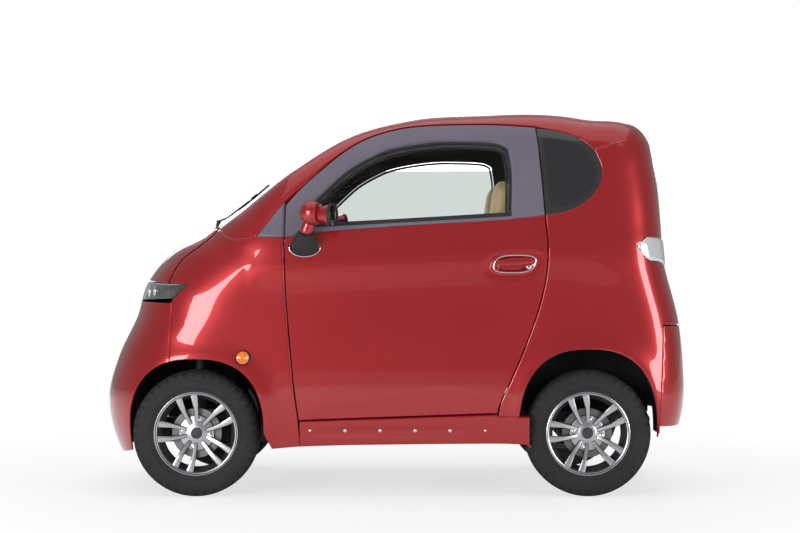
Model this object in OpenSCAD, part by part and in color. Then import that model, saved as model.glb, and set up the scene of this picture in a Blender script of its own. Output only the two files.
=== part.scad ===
// Two-door electric microcar: separate body panels, doors, lids, glazing, seats, chassis and wheels.
// X runs from the nose (-) to the tail (+), Y across the car and Z up from the road.

/* [Wheels] */
// Distance between the front and rear axles
wheelbase = 1572; // [1540:4:1640]
// Distance from the car's centre plane to the middle of a tyre
half_track = 527; // [515:1:532]
// Outer radius of a tyre
tyre_r = 254; // [246:1:256]
// Width of a tyre
tyre_w = 145; // [125:1:150]
// Outer radius of the rim's flange
rim_r = 170; // [160:1:178]
// Radius of the circle of the wheel bolts
bolt_circle_r = 57; // [50:0.5:62]

/* [Body] */
// Distance that the nose reaches ahead of the front axle
front_overhang = 412; // [400:2:460]
// Distance that the tail reaches behind the rear axle
rear_overhang = 416; // [400:2:460]
// Half of the body's width at the doors
half_width = 632; // [626:1:660]
// Height of the roof above the road
roof_z = 1575; // [1560:1:1620]
// Gap between neighbouring body panels
panel_gap = 6; // [4:0.5:8]
// Joint between panels that are fixed to each other
seam = 0.8; // [0.6:0.1:1.5]
// Thickness of the wings and bumpers
skin_t = 8; // [5:0.5:10]
// Thickness of a door below the window
door_t = 50; // [35:1:60]
// Thickness of the roof with its lining
roof_t = 26; // [18:1:34]
// Thickness of the window panes
glass_t = 5; // [4:0.5:6]
// Height of the crease along the side
crease_h = 7; // [0:0.5:12]
// Height of the flare round each wheel arch
flare_h = 12; // [0:0.5:16]

/* [Arches] */
// Half of the front arch's length
front_arch_a = 274; // [270:1:282]
// Height of the front arch above the axle
front_arch_b = 301; // [290:1:320]
// Half of the rear arch's length
rear_arch_a = 280; // [272:1:286]
// Height of the rear arch above the axle
rear_arch_b = 340; // [320:1:350]

/* [Chassis] */
// Width of a seat
seat_w = 430; // [380:5:460]
// Radius of the steering wheel
steering_wheel_r = 175; // [160:1:190]
// Height of the floor above the road
floor_z = 250; // [240:1:280]
// Height of the frame's rails
rail_h = 60; // [45:1:80]

/* [Hidden] */

front_x = -(front_overhang + wheelbase + rear_overhang) / 2 + front_overhang;
rear_x = front_x + wheelbase;
nose_x = front_x - front_overhang;
tail_x = rear_x + rear_overhang;

// The body's skin is a closed cushion round this point of the side view
core_x = (nose_x + tail_x) / 2 + 30;
core_z = 750;

// Centre-line outline of the car from the front skirt over the roof to the rear skirt, then closed
// below the floor, where no panel reaches
outline = [
  [nose_x + 300, -160], [nose_x + 50, 160], [nose_x, 370], [nose_x + 40, 545], [nose_x + 115, 710],
  [nose_x + 158, 855], [nose_x + 265, 985], [nose_x + 420, 1075], [nose_x + 600, 1195],
  [nose_x + 810, roof_z - 222], [nose_x + 1030, roof_z - 90], [nose_x + 1300, roof_z - 15],
  [nose_x + 1600, roof_z], [tail_x - 400, roof_z - 19], [tail_x - 215, roof_z - 40],
  [tail_x - 138, roof_z - 107], [tail_x - 108, 1340], [tail_x - 84, 1100], [tail_x - 72, 930],
  [tail_x - 13, 680], [tail_x, 520], [tail_x - 10, 300], [tail_x - 200, -60]];

// How far the side lies inside its widest plane, by height
side_inset = [[-200, 90], [150, 42], [230, 26], [330, 9], [430, 0], [600, 3], [800, 11], [930, 13],
              [1010, 20], [1090, 36], [1200, 54], [1350, 78], [1500, 104], [1700, 140]];

// Where the rounding into the centre begins, as a share of the outline's reach, by direction
round_from = [[-90, 0.9], [-30, 0.75], [0, 0.72], [30, 0.72], [60, 0.72], [90, 0.72], [125, 0.73],
              [150, 0.62], [165, 0.52], [180, 0.56], [193, 0.60], [210, 0.60], [270, 0.9]];
// Squareness of that rounding, by direction
round_power = [[-90, 4], [-30, 5], [0, 4.5], [30, 4.2], [60, 3.8], [90, 3.5], [125, 5], [150, 3.6],
               [165, 2.8], [180, 2.9], [193, 3.0], [210, 3.2], [270, 4]];

function lerp(a, b, t) = a + (b - a) * t;
function clamp01(t) = min(max(t, 0), 1);
function flat(lists) = [for (l = lists) each l];
function reversed(l) = [for (i = [len(l) - 1 : -1 : 0]) l[i]];

// Smooth curve through knots [x, value], level beyond its ends
function knot_at(k, x, i = 0) = (i >= len(k) - 2 || x < k[i + 1][0]) ? i : knot_at(k, x, i + 1);
function knot_slope(k, i) =
  let (a = max(i - 1, 0), b = min(i + 1, len(k) - 1)) (k[b][1] - k[a][1]) / (k[b][0] - k[a][0]);
function curve(k, x) =
  let (i = knot_at(k, x), h = k[i + 1][0] - k[i][0], t = clamp01((x - k[i][0]) / h))
    (2 * t ^ 3 - 3 * t ^ 2 + 1) * k[i][1] + (t ^ 3 - 2 * t ^ 2 + t) * h * knot_slope(k, i)
    + (3 * t ^ 2 - 2 * t ^ 3) * k[i + 1][1] + (t ^ 3 - t ^ 2) * h * knot_slope(k, i + 1);

// Direction of a side-view point from the core, from -90 below, by the tail and the roof, to 270
function direction(p) = let (a = atan2(p[1] - core_z, p[0] - core_x)) a < -90 ? a + 360 : a;
outline_knots = [for (i = [len(outline) - 1 : -1 : 0])
  [direction(outline[i]), norm(outline[i] - [core_x, core_z])]];
function reach(th) = curve(outline_knots, th);

// Superellipse that each wheel arch follows
arch_power = 2.5;
function arch_norm(p, axle_x, a, b) =
  (abs((p[0] - axle_x) / a) ^ arch_power + (max(p[1] - tyre_r, 0) / b) ^ arch_power) ^ (1 / arch_power);
function arch_flare(p, axle_x, a, b) =
  flare_h * exp(-((max(arch_norm(p, axle_x, a, b) - 1, 0)) * a / 42) ^ 2);

// Height of the crease along the side, and the outward step that it makes
crease_line = [[front_x + 200, 905], [front_x + 500, 936], [front_x + 1250, 985], [rear_x - 60, 990],
               [rear_x + 60, 965], [rear_x + 190, 900]];
function crease(p) =
  let (d = p[1] - curve(crease_line, p[0]),
       ends = clamp01((p[0] - front_x - 200) / 150) * clamp01((rear_x + 170 - p[0]) / 160))
    crease_h * ends * (d > 0 ? exp(-(d / 30) ^ 2) : exp(-(d / 70) ^ 2));

function half_at(p) =
  half_width - curve(side_inset, p[1]) + crease(p)
  + arch_flare(p, front_x, front_arch_a, front_arch_b) + arch_flare(p, rear_x, rear_arch_a, rear_arch_b);

// A point of the skin from its direction th and its turn: below 0 on the flat side, 0 to 90 round the
// edge to the centre plane, 90 to 180 back down the other side. depth goes inwards.
function skin(th, turn, depth = 0) =
  let (side = turn > 90 ? 1 : -1, s = turn > 90 ? 180 - turn : turn,
       from = curve(round_from, th), power = curve(round_power, th),
       edge = s <= 0 ? 1 : (sin(s) ^ power + cos(s) ^ power) ^ (1 / power),
       out = s <= 0 ? s * PI / 180 : sin(s) / edge,
       across = s <= 0 ? 1 : cos(s) / edge,
       share = from + (1 - from) * out, r = reach(th),
       outer = [core_x, core_z] + share * r * [cos(th), sin(th)],
       inner = [core_x, core_z] + share * (r - depth) * [cos(th), sin(th)])
    [inner[0], side * across * (half_at(outer) - depth), inner[1]];

// Direction and turn of a side-view point [x, z] of the near side
function on_side(p) =
  let (th = direction(p), from = curve(round_from, th), power = curve(round_power, th),
       share = min(norm(p - [core_x, core_z]) / reach(th), 0.9999), out = (share - from) / (1 - from))
    [th, out <= 0 ? out * 180 / PI : atan2(out, (1 - out ^ power) ^ (1 / power))];

// Direction and turn of a point in space that lies on or near the skin
function on_skin(p) =
  let (s = [p[0], p[2]], th = direction(s), from = curve(round_from, th),
       out = (norm(s - [core_x, core_z]) / reach(th) - from) / (1 - from),
       turn = out <= 0 ? out * 180 / PI : atan2(out, abs(p[1]) / half_at(s)))
    [th, p[1] > 0 ? 180 - turn : turn];

// Points along a smooth line through pts, n steps
function catmull(p0, p1, p2, p3, t) =
  0.5 * (2 * p1 + (p2 - p0) * t + (2 * p0 - 5 * p1 + 4 * p2 - p3) * t ^ 2
         + (3 * p1 - p0 - 3 * p2 + p3) * t ^ 3);
function path(pts, n) = let (last = len(pts) - 1)
  [for (k = [0 : n]) let (s = k / n * last, i = min(floor(s), last - 1))
    catmull(pts[max(i - 1, 0)], pts[i], pts[i + 1], pts[min(i + 2, last)], s - i)];

// Grid between four edges that share corners, rows from the bottom edge to the top edge
function coons(bottom, top, left, right, rows = []) = let (n = len(bottom) - 1, m = len(left) - 1)
  [for (j = [0 : m]) let (v = len(rows) > 0 ? rows[j] : j / m) [for (i = [0 : n]) let (u = i / n)
    lerp(bottom[i], top[i], v) + lerp(left[j], right[j], u)
    - lerp(lerp(bottom[0], bottom[n], u), lerp(top[0], top[n], u), v)]];

// Straight steps along pts, n to each stretch, and several lines joined end to end
function poly(pts, n) = concat([for (i = [0 : len(pts) - 2], k = [0 : n - 1]) lerp(pts[i], pts[i + 1], k / n)],
                               [pts[len(pts) - 1]]);
function chain(lines) = concat([for (i = [0 : len(lines) - 1], k = [(i == 0 ? 0 : 1) : len(lines[i]) - 1]) lines[i][k]]);

// Solid sheet between an outer and an inner grid of the same size; looped joins its last column to its first
module sheet(outer, inner, looped = false) {
  m = len(outer) - 1;
  n = len(outer[0]) - 1;
  w = n + 1;
  base = (m + 1) * w;
  cols = looped ? n : n - 1;
  function at(layer, row, col) = layer * base + row * w + col % w;
  skins = [for (j = [0 : m - 1], i = [0 : cols]) each [
    [at(0, j, i), at(0, j + 1, i + 1), at(0, j, i + 1)], [at(0, j, i), at(0, j + 1, i), at(0, j + 1, i + 1)],
    [at(1, j, i), at(1, j, i + 1), at(1, j + 1, i + 1)], [at(1, j, i), at(1, j + 1, i + 1), at(1, j + 1, i)]]];
  ends = [for (i = [0 : cols]) each [
    [at(0, 0, i), at(0, 0, i + 1), at(1, 0, i + 1)], [at(0, 0, i), at(1, 0, i + 1), at(1, 0, i)],
    [at(0, m, i), at(1, m, i + 1), at(0, m, i + 1)], [at(0, m, i), at(1, m, i), at(1, m, i + 1)]]];
  sides = looped ? [] : [for (j = [0 : m - 1]) each [
    [at(0, j, 0), at(1, j + 1, 0), at(0, j + 1, 0)], [at(0, j, 0), at(1, j, 0), at(1, j + 1, 0)],
    [at(0, j, n), at(0, j + 1, n), at(1, j + 1, n)], [at(0, j, n), at(1, j + 1, n), at(1, j, n)]]];
  j = floor(m / 2);
  i = floor(n / 2);
  facing = cross(outer[j][i + 1] - outer[j][i], outer[j + 1][i] - outer[j][i]) * (inner[j][i] - outer[j][i]);
  pts = flat(concat(outer, inner));
  all = [for (f = concat(skins, ends, sides))
    if (pts[f[0]] != pts[f[1]] && pts[f[1]] != pts[f[2]] && pts[f[2]] != pts[f[0]]) f];
  polyhedron(points = pts, faces = facing < 0 ? all : [for (f = all) reversed(f)]);
}

// Patch of the skin between four edges given by directions and turns
function on_edge(line) = [for (p = line) skin(p[0], p[1])];
function patch(bottom, top, left, right) =
  [for (row = coons(on_edge(bottom), on_edge(top), on_edge(left), on_edge(right))) [for (p = row) on_skin(p)]];

function to_skin(grid, depth) = [for (row = grid) [for (p = row) skin(p[0], p[1], depth)]];
function side_grid(grid) = [for (row = grid) [for (p = row) on_side(p)]];

// Panel of the near side from a grid of side-view points
module side_panel(grid, thickness, from = 0, looped = false) {
  g = side_grid(grid);
  sheet(to_skin(g, from), to_skin(g, from + thickness), looped);
}

module both_sides() {
  children();
  mirror([0, 1, 0]) children();
}

// Grid of a panel that crosses the car: its near edge, bottom to top, and its centre directions
function cross_grid(edge, th_low, th_high, cols) = let (e = [for (p = edge) on_side(p)], m = len(e) - 1)
  [for (j = [0 : m]) let (v = j / m, th_c = lerp(th_low, th_high, v))
    [for (i = [0 : cols]) let (u = i / cols)
      [lerp(th_c, e[j][0], abs(2 * u - 1) ^ 2), lerp(e[j][1], 180 - e[j][1], u)]]];

function arch_point(axle_x, a, b, ang) =
  [axle_x + a * sign(cos(ang)) * abs(cos(ang)) ^ (2 / arch_power), tyre_r + b * abs(sin(ang)) ^ (2 / arch_power)];
function arch(axle_x, a, b, from, to, n) =
  [for (k = [0 : n]) arch_point(axle_x, a, b, lerp(from, to, k / n))];

// Side-view lines of the near door
door_front_low = [front_x + 414, 310];
door_front = [door_front_low, [front_x + 398, 430], [front_x + 382, 590], [front_x + 366, 790],
              [front_x + 358, 950], [front_x + 358, 1042]];
door_rear = [[rear_x - 366, 338], [rear_x - 354, 382], [rear_x - 314, 470], [rear_x - 254, 610],
             [rear_x - 210, 730], [rear_x - 178, 850], [rear_x - 166, 942], [rear_x - 166, 1030],
             [rear_x - 174, 1130]];
belt = [[front_x + 358, 1042], [front_x + 538, 1066], [front_x + 818, 1086], [front_x + 1018, 1100],
        [rear_x - 286, 1118], [rear_x - 174, 1130]];
frame_front = [[front_x + 358, 1042], [front_x + 359, 1110], [front_x + 361, 1170]];
frame_top = [[front_x + 361, 1170], [front_x + 416, 1232], [front_x + 495, 1305], [front_x + 595, 1387],
             [front_x + 696, 1445], [front_x + 818, 1482], [front_x + 940, 1495], [front_x + 1102, 1499],
             [rear_x - 348, 1497], [rear_x - 206, 1487]];
frame_rear = [[rear_x - 174, 1130], [rear_x - 188, 1314], [rear_x - 206, 1487]];
window_front = [[front_x + 442, 1080], [front_x + 450, 1140], [front_x + 475, 1196]];
window_top = [[front_x + 475, 1196], [front_x + 595, 1308], [front_x + 695, 1369], [front_x + 795, 1407],
              [front_x + 963, 1432], [front_x + 1102, 1433], [rear_x - 360, 1425], [rear_x - 316, 1404]];
window_rear = [[rear_x - 306, 1126], [rear_x - 302, 1300], [rear_x - 316, 1404]];
window_low = [[front_x + 442, 1080], [front_x + 818, 1100], [rear_x - 306, 1126]];

frame_t = 34;
glass_depth = 14;
belt_gap = 1;
pane_gap = 0.5;
seam_deg = seam / 18;
steps_long = 16;
steps_short = 4;

module door_skin() color("firebrick")
  side_panel(coons(path([door_front[0], door_rear[0]], 14), path(belt, 14), path(door_front, 10), path(door_rear, 10)),
             door_t);

function ring_loop(front, top, rear, low) =
  chain([path(front, steps_short), path(top, steps_long), reversed(path(rear, steps_short)),
         reversed(path(low, steps_long))]);

module door_frame() color("dimgray") {
  lift = [0, belt_gap];
  outer = ring_loop([for (p = frame_front) p + lift], frame_top, [for (p = frame_rear) p + lift],
                    [for (p = belt) p + lift]);
  inner = ring_loop(window_front, window_top, window_rear, window_low);
  side_panel([outer, inner], frame_t, looped = true);
}

function inset_line(line, by) = [for (i = [0 : len(line) - 1]) line[i] + by];
module door_glass() color("lightgray", 0.4) {
  g = pane_gap;
  side_panel(coons(path([window_low[0] + [g, g], window_low[1] + [0, g], window_low[2] + [-g, g]], steps_long),
                   path([for (i = [0 : len(window_top) - 1]) window_top[i] + [i == 0 ? g : i == 7 ? -g : 0, -g]], steps_long),
                   path([for (p = window_front) p + [g, p == window_front[0] ? g : p == window_front[2] ? -g : 0]], steps_short),
                   path([for (p = window_rear) p + [-g, p == window_rear[0] ? g : p == window_rear[2] ? -g : 0]], steps_short)),
             glass_t, glass_depth);
}

// Oval plate of the door handle with its grip, laid on the door
handle_at = [rear_x - 297, 934];
function oval(at, a, b) = [for (k = [0 : 24]) at + [a * cos(k * 15) + 0.35 * b * sin(k * 15), b * sin(k * 15)]];
module door_handle() color("firebrick") {
  g = side_grid([oval(handle_at, 102, 50), oval(handle_at, 62, 26)]);
  sheet(to_skin(g, -6), to_skin(g, -0.5), true);
  e = side_grid([oval(handle_at, 61, 25), oval(handle_at, 1, 1)]);
  sheet(to_skin(e, -10), to_skin(e, -0.5), true);
}

function round_on(at, r) = [for (k = [0 : 20]) at + r * [cos(k * 18), sin(k * 18)]];

// Door mirror: cone foot on the door's shoulder, pod and round head that looks back
mirror_at = [front_x + 470, 1135];
function ring_3d(at, r, tilt) = [for (k = [0 : 20]) at + r * [cos(k * 18), 0.9 * sin(k * 18), tilt * sin(k * 18)]];
module mirror_arm() {
  at = [mirror_at[0] - 32, 998];
  s = on_side(at);
  seat = skin(s[0], s[1]);
  crown = [mirror_at[0] - 26, seat[1] - 46, 1057];
  pod = [mirror_at[0], seat[1] - 56, mirror_at[1]];
  base = [for (r = [1, 0.7, 0.4, 0.02]) to_skin(side_grid([[for (k = [0 : 20]) at + r * [60 * cos(k * 18), 34 * sin(k * 18)]]]), -1)[0]];
  color("black") sheet([base[0], ring_3d(crown, 36, 0.4), ring_3d(crown, 20, 0.4), ring_3d(crown, 1, 0.4)], base, true);
  color("firebrick") rod(crown, pod, 24);
  color("firebrick") translate(pod) sphere(r = 50, $fn = 32);
  color("firebrick") translate(pod) rotate([0, 0, -21]) translate([34, 0, -7]) rotate([0, 90, 0])
    cylinder(h = 72, r1 = 30, r2 = 45, $fn = 32);
}

// Front wing: from the bumper seam over the arch to the door, with a notch for the headlamp
seam_x = front_x - 100;
seam_share = (front_x - seam_x) / front_arch_a;
arch_from = 180 - acos(seam_share ^ (arch_power / 2));
wing_foot = [[front_x + 306, 194], [front_x + 416, 203]];
lamp_tip = [front_x - 32, 854];
lamp_low = [seam_x, 792];
lamp_heel = [seam_x + 14, 806];
hood_low = [front_x - 124, 858];
hood_line = [hood_low, [front_x - 80, 945], [front_x + 2, 1013], [front_x + 48, 1052], [front_x + 70, 1078]];
pillar_foot = [[front_x + 76, 1080], [front_x + 146, 1034], [front_x + 240, 1044]];
wing_top = path([for (p = hood_line) p + [8, -6]], 6);
module fender() {
  seat = path(pillar_foot, 6);
  low = chain([arch(front_x, front_arch_a, front_arch_b, arch_from, 0, 11),
               poly([[front_x + front_arch_a, tyre_r], wing_foot[0]], 1), poly(wing_foot, 2)]);
  right = chain([poly([wing_foot[1], door_front_low - [panel_gap, 0]], 2),
                 path([for (p = door_front) p - [panel_gap, 0]], 10)]);
  left = chain([poly([low[0], lamp_low], 4), poly([lamp_low, lamp_heel], 1), poly([lamp_heel, lamp_tip], 2),
                poly([lamp_tip, hood_low + [6, 0]], 2), [for (k = [0 : 3]) wing_top[k]]]);
  top = concat([for (k = [3 : 6]) wing_top[k]], [for (k = [1 : 6]) seat[k] - [0, seam]],
               [for (k = [1 : 5]) lerp(seat[6] - [0, seam], [front_x + 358 - panel_gap, 1042], k / 5)]);
  side_panel(coons(low, top, left, right), skin_t);
}
module fenders() color("firebrick") both_sides() fender();

// Front bumper, its top edge stepping up between the headlamps to meet the hood
lamp_turn = 66;
lamp_under = 178.4;
hood_front = 173.8;
function bumper_top(turn) = lerp(lamp_under, hood_front + 0.4, clamp01((min(turn, 180 - turn) - lamp_turn - 1) / 4));
function bumper_turn(from, i) = i > 10 ? 180 - bumper_turn(from, 20 - i)
  : i < 7 ? lerp(from, lamp_turn + 1, i / 6) : lerp(lamp_turn + 5, 90, (i - 7) / 3);
module front_bumper() color("firebrick") {
  arch_side = arch(front_x, front_arch_a, front_arch_b, 180, arch_from, 5);
  near = side_grid([chain([poly([[front_x - front_arch_a - seam, 176], [front_x - front_arch_a - seam, tyre_r]], 2),
                           [for (p = arch_side) p - [seam, 0]], poly([[seam_x - seam, 640], lamp_low - [seam, 8]], 3)])])[0];
  m = len(near) - 1;
  n = 20;
  far = [for (p = near) [p[0], 180 - p[1]]];
  low = [for (i = [0 : n]) let (turn = bumper_turn(near[0][1], i)) [lerp(207, near[0][0], abs(2 * i / n - 1) ^ 3), turn]];
  top = [for (i = [0 : n]) let (turn = bumper_turn(near[m][1], i))
    [i == 0 || i == n ? near[m][0] : bumper_top(turn), turn]];
  g = patch(low, top, near, far);
  sheet(to_skin(g, 0), to_skin(g, skin_t));
}

module headlamp() {
  inner_low = [lamp_under - 0.3, lamp_turn];
  inner_top = [hood_front + 0.4, lamp_turn];
  low = concat(side_grid([poly([lamp_tip + [-8, -6], lamp_heel + [-2, 4], lamp_low + [-8, 5]], 3)])[0],
               [for (k = [1 : 5]) let (s = on_side(lamp_low + [-8, 5])) [lerp(s[0], inner_low[0], k / 5), lerp(s[1], inner_low[1], k / 5)]]);
  top = concat(side_grid([poly([lamp_tip + [-8, -2], lamp_low + [20, 62], hood_low + [-4, -8]], 3)])[0],
               [for (k = [1 : 5]) let (s = on_side(hood_low + [-4, -8])) [lerp(s[0], inner_top[0], k / 5), lerp(s[1], inner_top[1], k / 5)]]);
  n = len(low) - 1;
  g = coons(low, top, [for (k = [0 : 3]) [lerp(low[0][0], top[0][0], k / 3), lerp(low[0][1], top[0][1], k / 3)]],
            [for (k = [0 : 3]) [lerp(low[n][0], top[n][0], k / 3), lerp(low[n][1], top[n][1], k / 3)]]);
  sheet(to_skin(g, 0), to_skin(g, 40));
}
module headlamps() color("whitesmoke") both_sides() headlamp();

hood_rear = 158;
hood_t = 16;
hood_axis = [front_x + 83, 1088];
gate_axis = [rear_x + 298, 1421];
module barrel(axis, y, length, r) {
  translate([axis[0], y, axis[1]]) rotate([-90, 0, 0]) cylinder(h = length, r = r, $fn = 32);
}
module lug(axis, y, length, root) {
  barrel(axis, y, length, 4.5);
  bar([axis[0], y + length / 2, axis[1]], [root[0], y + length / 2, root[1]], length - 2, 5);
}
module goose_neck(axis, y) {
  bends = [[0, 0], [4, -66], [-20, -90], [-60, -92], [-104, -44]];
  barrel(axis, y, 10, 8);
  translate([axis[0], y + 6, axis[1]]) rotate([90, 0, 0]) linear_extrude(6)
    for (i = [0 : 3]) hull() for (p = [bends[i], bends[i + 1]]) translate(p) circle(r = 7, $fn = 24);
}
module hood() color("firebrick") {
  g = cross_grid(path(hood_line, 9), hood_front, hood_rear, 16);
  under = [for (r = g) [for (p = r) p + [1.8 * clamp01((hood_rear + 5 - p[0]) / 5), 0]]];
  sheet(to_skin(g, 0), to_skin(under, hood_t));
  both_sides() goose_neck(hood_axis, -260);
}

// Windscreen edges: its lower corner lies at the pillar's foot
screen_low = 153;
screen_high = 111;
screen_turn = 50;
screen_corner = on_side(pillar_foot[0]);
function screen_side(v) = [lerp(screen_corner[0], screen_high, v), lerp(screen_corner[1], screen_turn, v)];
screen_gap = 0.06;
module windscreen() color("lightgray", 0.4) {
  g = [for (j = [0 : 8]) let (v = j / 8, s = screen_side(v), edge = s[1] + screen_gap,
         th_c = lerp(screen_low + 0.05, screen_high + screen_gap, v)) [for (i = [0 : 12])
    [lerp(th_c, s[0] + (j == 8 ? screen_gap : 0), abs(i / 6 - 1) ^ 2), lerp(edge, 180 - edge, i / 12)]]];
  sheet(to_skin(g, 0), to_skin(g, glass_t));
}

// Bar of width w and height h from p to q
module bar(p, q, w, h) {
  d = q - p;
  translate(p) rotate([0, acos(d[2] / norm(d)), atan2(d[1], d[0])])
    linear_extrude(norm(d)) square([h, w], center = true);
}

// Strip between hood and windscreen that carries the wiper
wiper_turn = 76;
wiper_to = [137, 62];
module cowl() color("black") {
  corner = on_side(hood_line[4]);
  from = screen_corner[1] + 4;
  g = [for (j = [0 : 2]) [for (i = [0 : 16]) let (turn = lerp(from, 180 - from, i / 16), t = 90 - turn,
         hood_th = lerp(hood_rear, corner[0], (t / (90 - corner[1])) ^ 2),
         screen_th = lerp(screen_low, screen_corner[0], (t / (90 - screen_corner[1])) ^ 2))
    [lerp(hood_th - 0.45, screen_th + 2 * seam_deg, j / 2), turn]]];
  sheet(to_skin(g, 4), to_skin(g, 8.5));
  foot = skin(hood_rear - 2.2, wiper_turn, 8);
  knee = skin(hood_rear - 5.5, wiper_turn, -9);
  tip = skin(wiper_to[0], wiper_to[1], -9);
  translate(foot) cylinder(h = 26, r = 9, $fn = 24);
  bar(foot + [0, 0, 20], knee, 14, 8);
  bar(knee, lerp(knee, tip, 0.55), 9, 5);
  bar(lerp(knee, tip, -0.1) + [0, 0, 0], tip, 7, 12);
}

// Roof and windscreen pillars: one sheet that runs round the windscreen from foot to foot
roof_rear = 33;
quarter_win_front = [[rear_x - 168, 1134], [rear_x - 182, 1314], [rear_x - 200, 1484]];
quarter_win_top = [[rear_x - 200, 1484], [rear_x - 110, 1472], [rear_x - 30, 1443], [rear_x + 30, 1396]];
quarter_win_rear = [[rear_x + 16, 1205], [rear_x + 50, 1256], [rear_x + 58, 1325], [rear_x + 30, 1396]];
quarter_win_low = [[rear_x - 168, 1134], [rear_x - 110, 1140], [rear_x - 40, 1165], [rear_x + 16, 1205]];
module roof() color("firebrick") {
  rim = [0, panel_gap];
  tight = [0, seam];
  side = path([for (i = [1 : 9]) frame_top[i] + (i < 4 ? [-4, 5] : rim)], 16);
  edge = side_grid([chain([[for (i = [4 : 16]) side[i]], poly([side[16], quarter_win_top[0] + tight], 1),
                           path([for (p = quarter_win_top) p + tight], 6)])])[0];
  m = len(edge) - 1;
  front = chain([turn_line(edge[0], [screen_high, screen_turn], 4), turn_line([screen_high, screen_turn], [screen_high, 90], 7)]);
  rear = concat(turn_line(edge[m], [gate_high + seam_deg, tail_turn], 4),
                [for (k = [1 : 7]) [lerp(gate_high + seam_deg, roof_rear, sin(k * 90 / 7)), lerp(tail_turn, 90, k / 7)]]);
  middle = [for (p = edge) [lerp(screen_high, roof_rear, (p[0] - edge[0][0]) / (edge[m][0] - edge[0][0])), 90]];
  half = coons(front, rear, edge, middle);
  g = [for (row = half) concat(row, [for (i = [10 : -1 : 0]) [row[i][0], 180 - row[i][1]]])];
  sheet(to_skin(g, 0), to_skin(g, roof_t));
  outer = side_grid([concat(poly([pillar_foot[2], [front_x + 352, 1184]], 4), [for (i = [0 : 4]) side[i]])])[0];
  strip = coons(reversed(side_grid([path(pillar_foot, 4)])[0]), [for (i = [0 : 4]) front[i]],
                outer, [for (k = [0 : 9]) screen_side(k / 9)]);
  far = [for (row = strip) [for (p = reversed(row)) [p[0], 180 - p[1]]]];
  for (h = [strip, far]) sheet(to_skin(h, 0), to_skin(h, roof_t));
  both_sides() lug(gate_axis, -179.7, 20, gate_axis + [-18, 11]);
}

// Grey triangle between windscreen pillar and door
module corner_trim() {
  a = [front_x + 241.5, 1043.3 + seam];
  b = [front_x + 352, 1042.1 + seam];
  c = [front_x + 352, 1183.5 - seam];
  tip = a + [0.5, 0.6];
  side_panel(coons(poly([a, b], 4), poly([tip, c], 4), poly([a, tip], 4), poly([b, c], 4)), 20);
}
module corner_trims() color("dimgray") both_sides() corner_trim();

module quarter_glass()
  side_panel(coons(path(quarter_win_low, 6), path(quarter_win_top, 6), path(quarter_win_front, 6), path(quarter_win_rear, 6)),
             glass_t, 2);
module quarter_glasses() color("black") both_sides() quarter_glass();

// Rear quarter: from the door over the arch, round the corner to the tailgate
tail_turn = 58;
quarter_t = 12;
gate_low = -3;
gate_high = 32.4;
quarter_foot = [rear_x - 360, 326];
bumper_edge = [[rear_x + 283, 285], [rear_x + 289, 450], [rear_x + 300, 686]];
function turn_line(a, b, n) = [for (k = [0 : n]) [lerp(a[0], b[0], k / n), lerp(a[1], b[1], k / n)]];
waist_z = 692;
module quarter_panel() {
  edge = [for (p = bumper_edge) p - [seam, 0]];
  top_edge = [edge[2][0], waist_z];
  foot_line = [for (i = [0 : 4]) (i == 0 ? quarter_foot : door_rear[i] + [panel_gap, 0])];
  rise = [for (i = [4 : 8]) door_rear[i] + [panel_gap, 0]];
  waist = poly([rise[0], top_edge], 14);
  lower = coons(side_grid([concat(poly([quarter_foot, [rear_x - rear_arch_a, 323]], 2),
                                  arch(rear_x, rear_arch_a, rear_arch_b, 168, 0, 10), [[rear_x + rear_arch_a, 240]])])[0],
                side_grid([waist])[0], side_grid([path(foot_line, 5)])[0],
                side_grid([chain([[[rear_x + rear_arch_a, 240], edge[0]], poly([edge[0], edge[1]], 2), poly([edge[1], top_edge], 2)])])[0]);
  corner = on_side(top_edge);
  top = chain([side_grid([chain([path([for (p = quarter_win_low) p - [0, seam]], 6),
                                 path([for (p = quarter_win_rear) p + [seam, 0]], 6)])])[0],
               turn_line(on_side(quarter_win_rear[3] + [seam, 0]), [gate_high, tail_turn], 5)]);
  upper = coons(chain([side_grid([waist])[0], turn_line(corner, [gate_low, tail_turn], 3)]), top,
                side_grid([path(rise, 7)])[0], turn_line([gate_low, tail_turn], [gate_high, tail_turn], 7));
  sheet(to_skin(lower, 0), to_skin(lower, quarter_t));
  sheet(to_skin(upper, 0), to_skin(upper, quarter_t));
}
module quarter_panels() color("firebrick") both_sides() quarter_panel();

gate_turn = tail_turn + 0.4;
gate_t = 28;
pane_low = 12;
pane_high = 29.5;
pane_turn = 64;
function loop_of(th0, th1, t0, n) =
  chain([turn_line([th0, t0], [th1, t0], n), turn_line([th1, t0], [th1, 180 - t0], n),
         turn_line([th1, 180 - t0], [th0, 180 - t0], n), turn_line([th0, 180 - t0], [th0, t0], n)]);
module tailgate() color("firebrick") {
  a = loop_of(gate_low + 0.2, gate_high - 0.3, gate_turn, 8);
  b = loop_of(pane_low, pane_high, pane_turn, 8);
  g = [for (j = [0 : 3]) [for (i = [0 : len(a) - 1]) lerp(a[i], b[i], j / 3)]];
  sheet(to_skin(g, 0), to_skin(g, gate_t), true);
  both_sides() lug(gate_axis, -200, 20, gate_axis + [-6, -18]);
}
module rear_glass() color("lightgray", 0.4) {
  g = [for (j = [0 : 8]) let (th = lerp(pane_low + 0.03, pane_high - 0.03, j / 8))
    turn_line([th, pane_turn + 0.1], [th, 179.9 - pane_turn], 8)];
  sheet(to_skin(g, 3), to_skin(g, 3 + glass_t));
}

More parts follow.
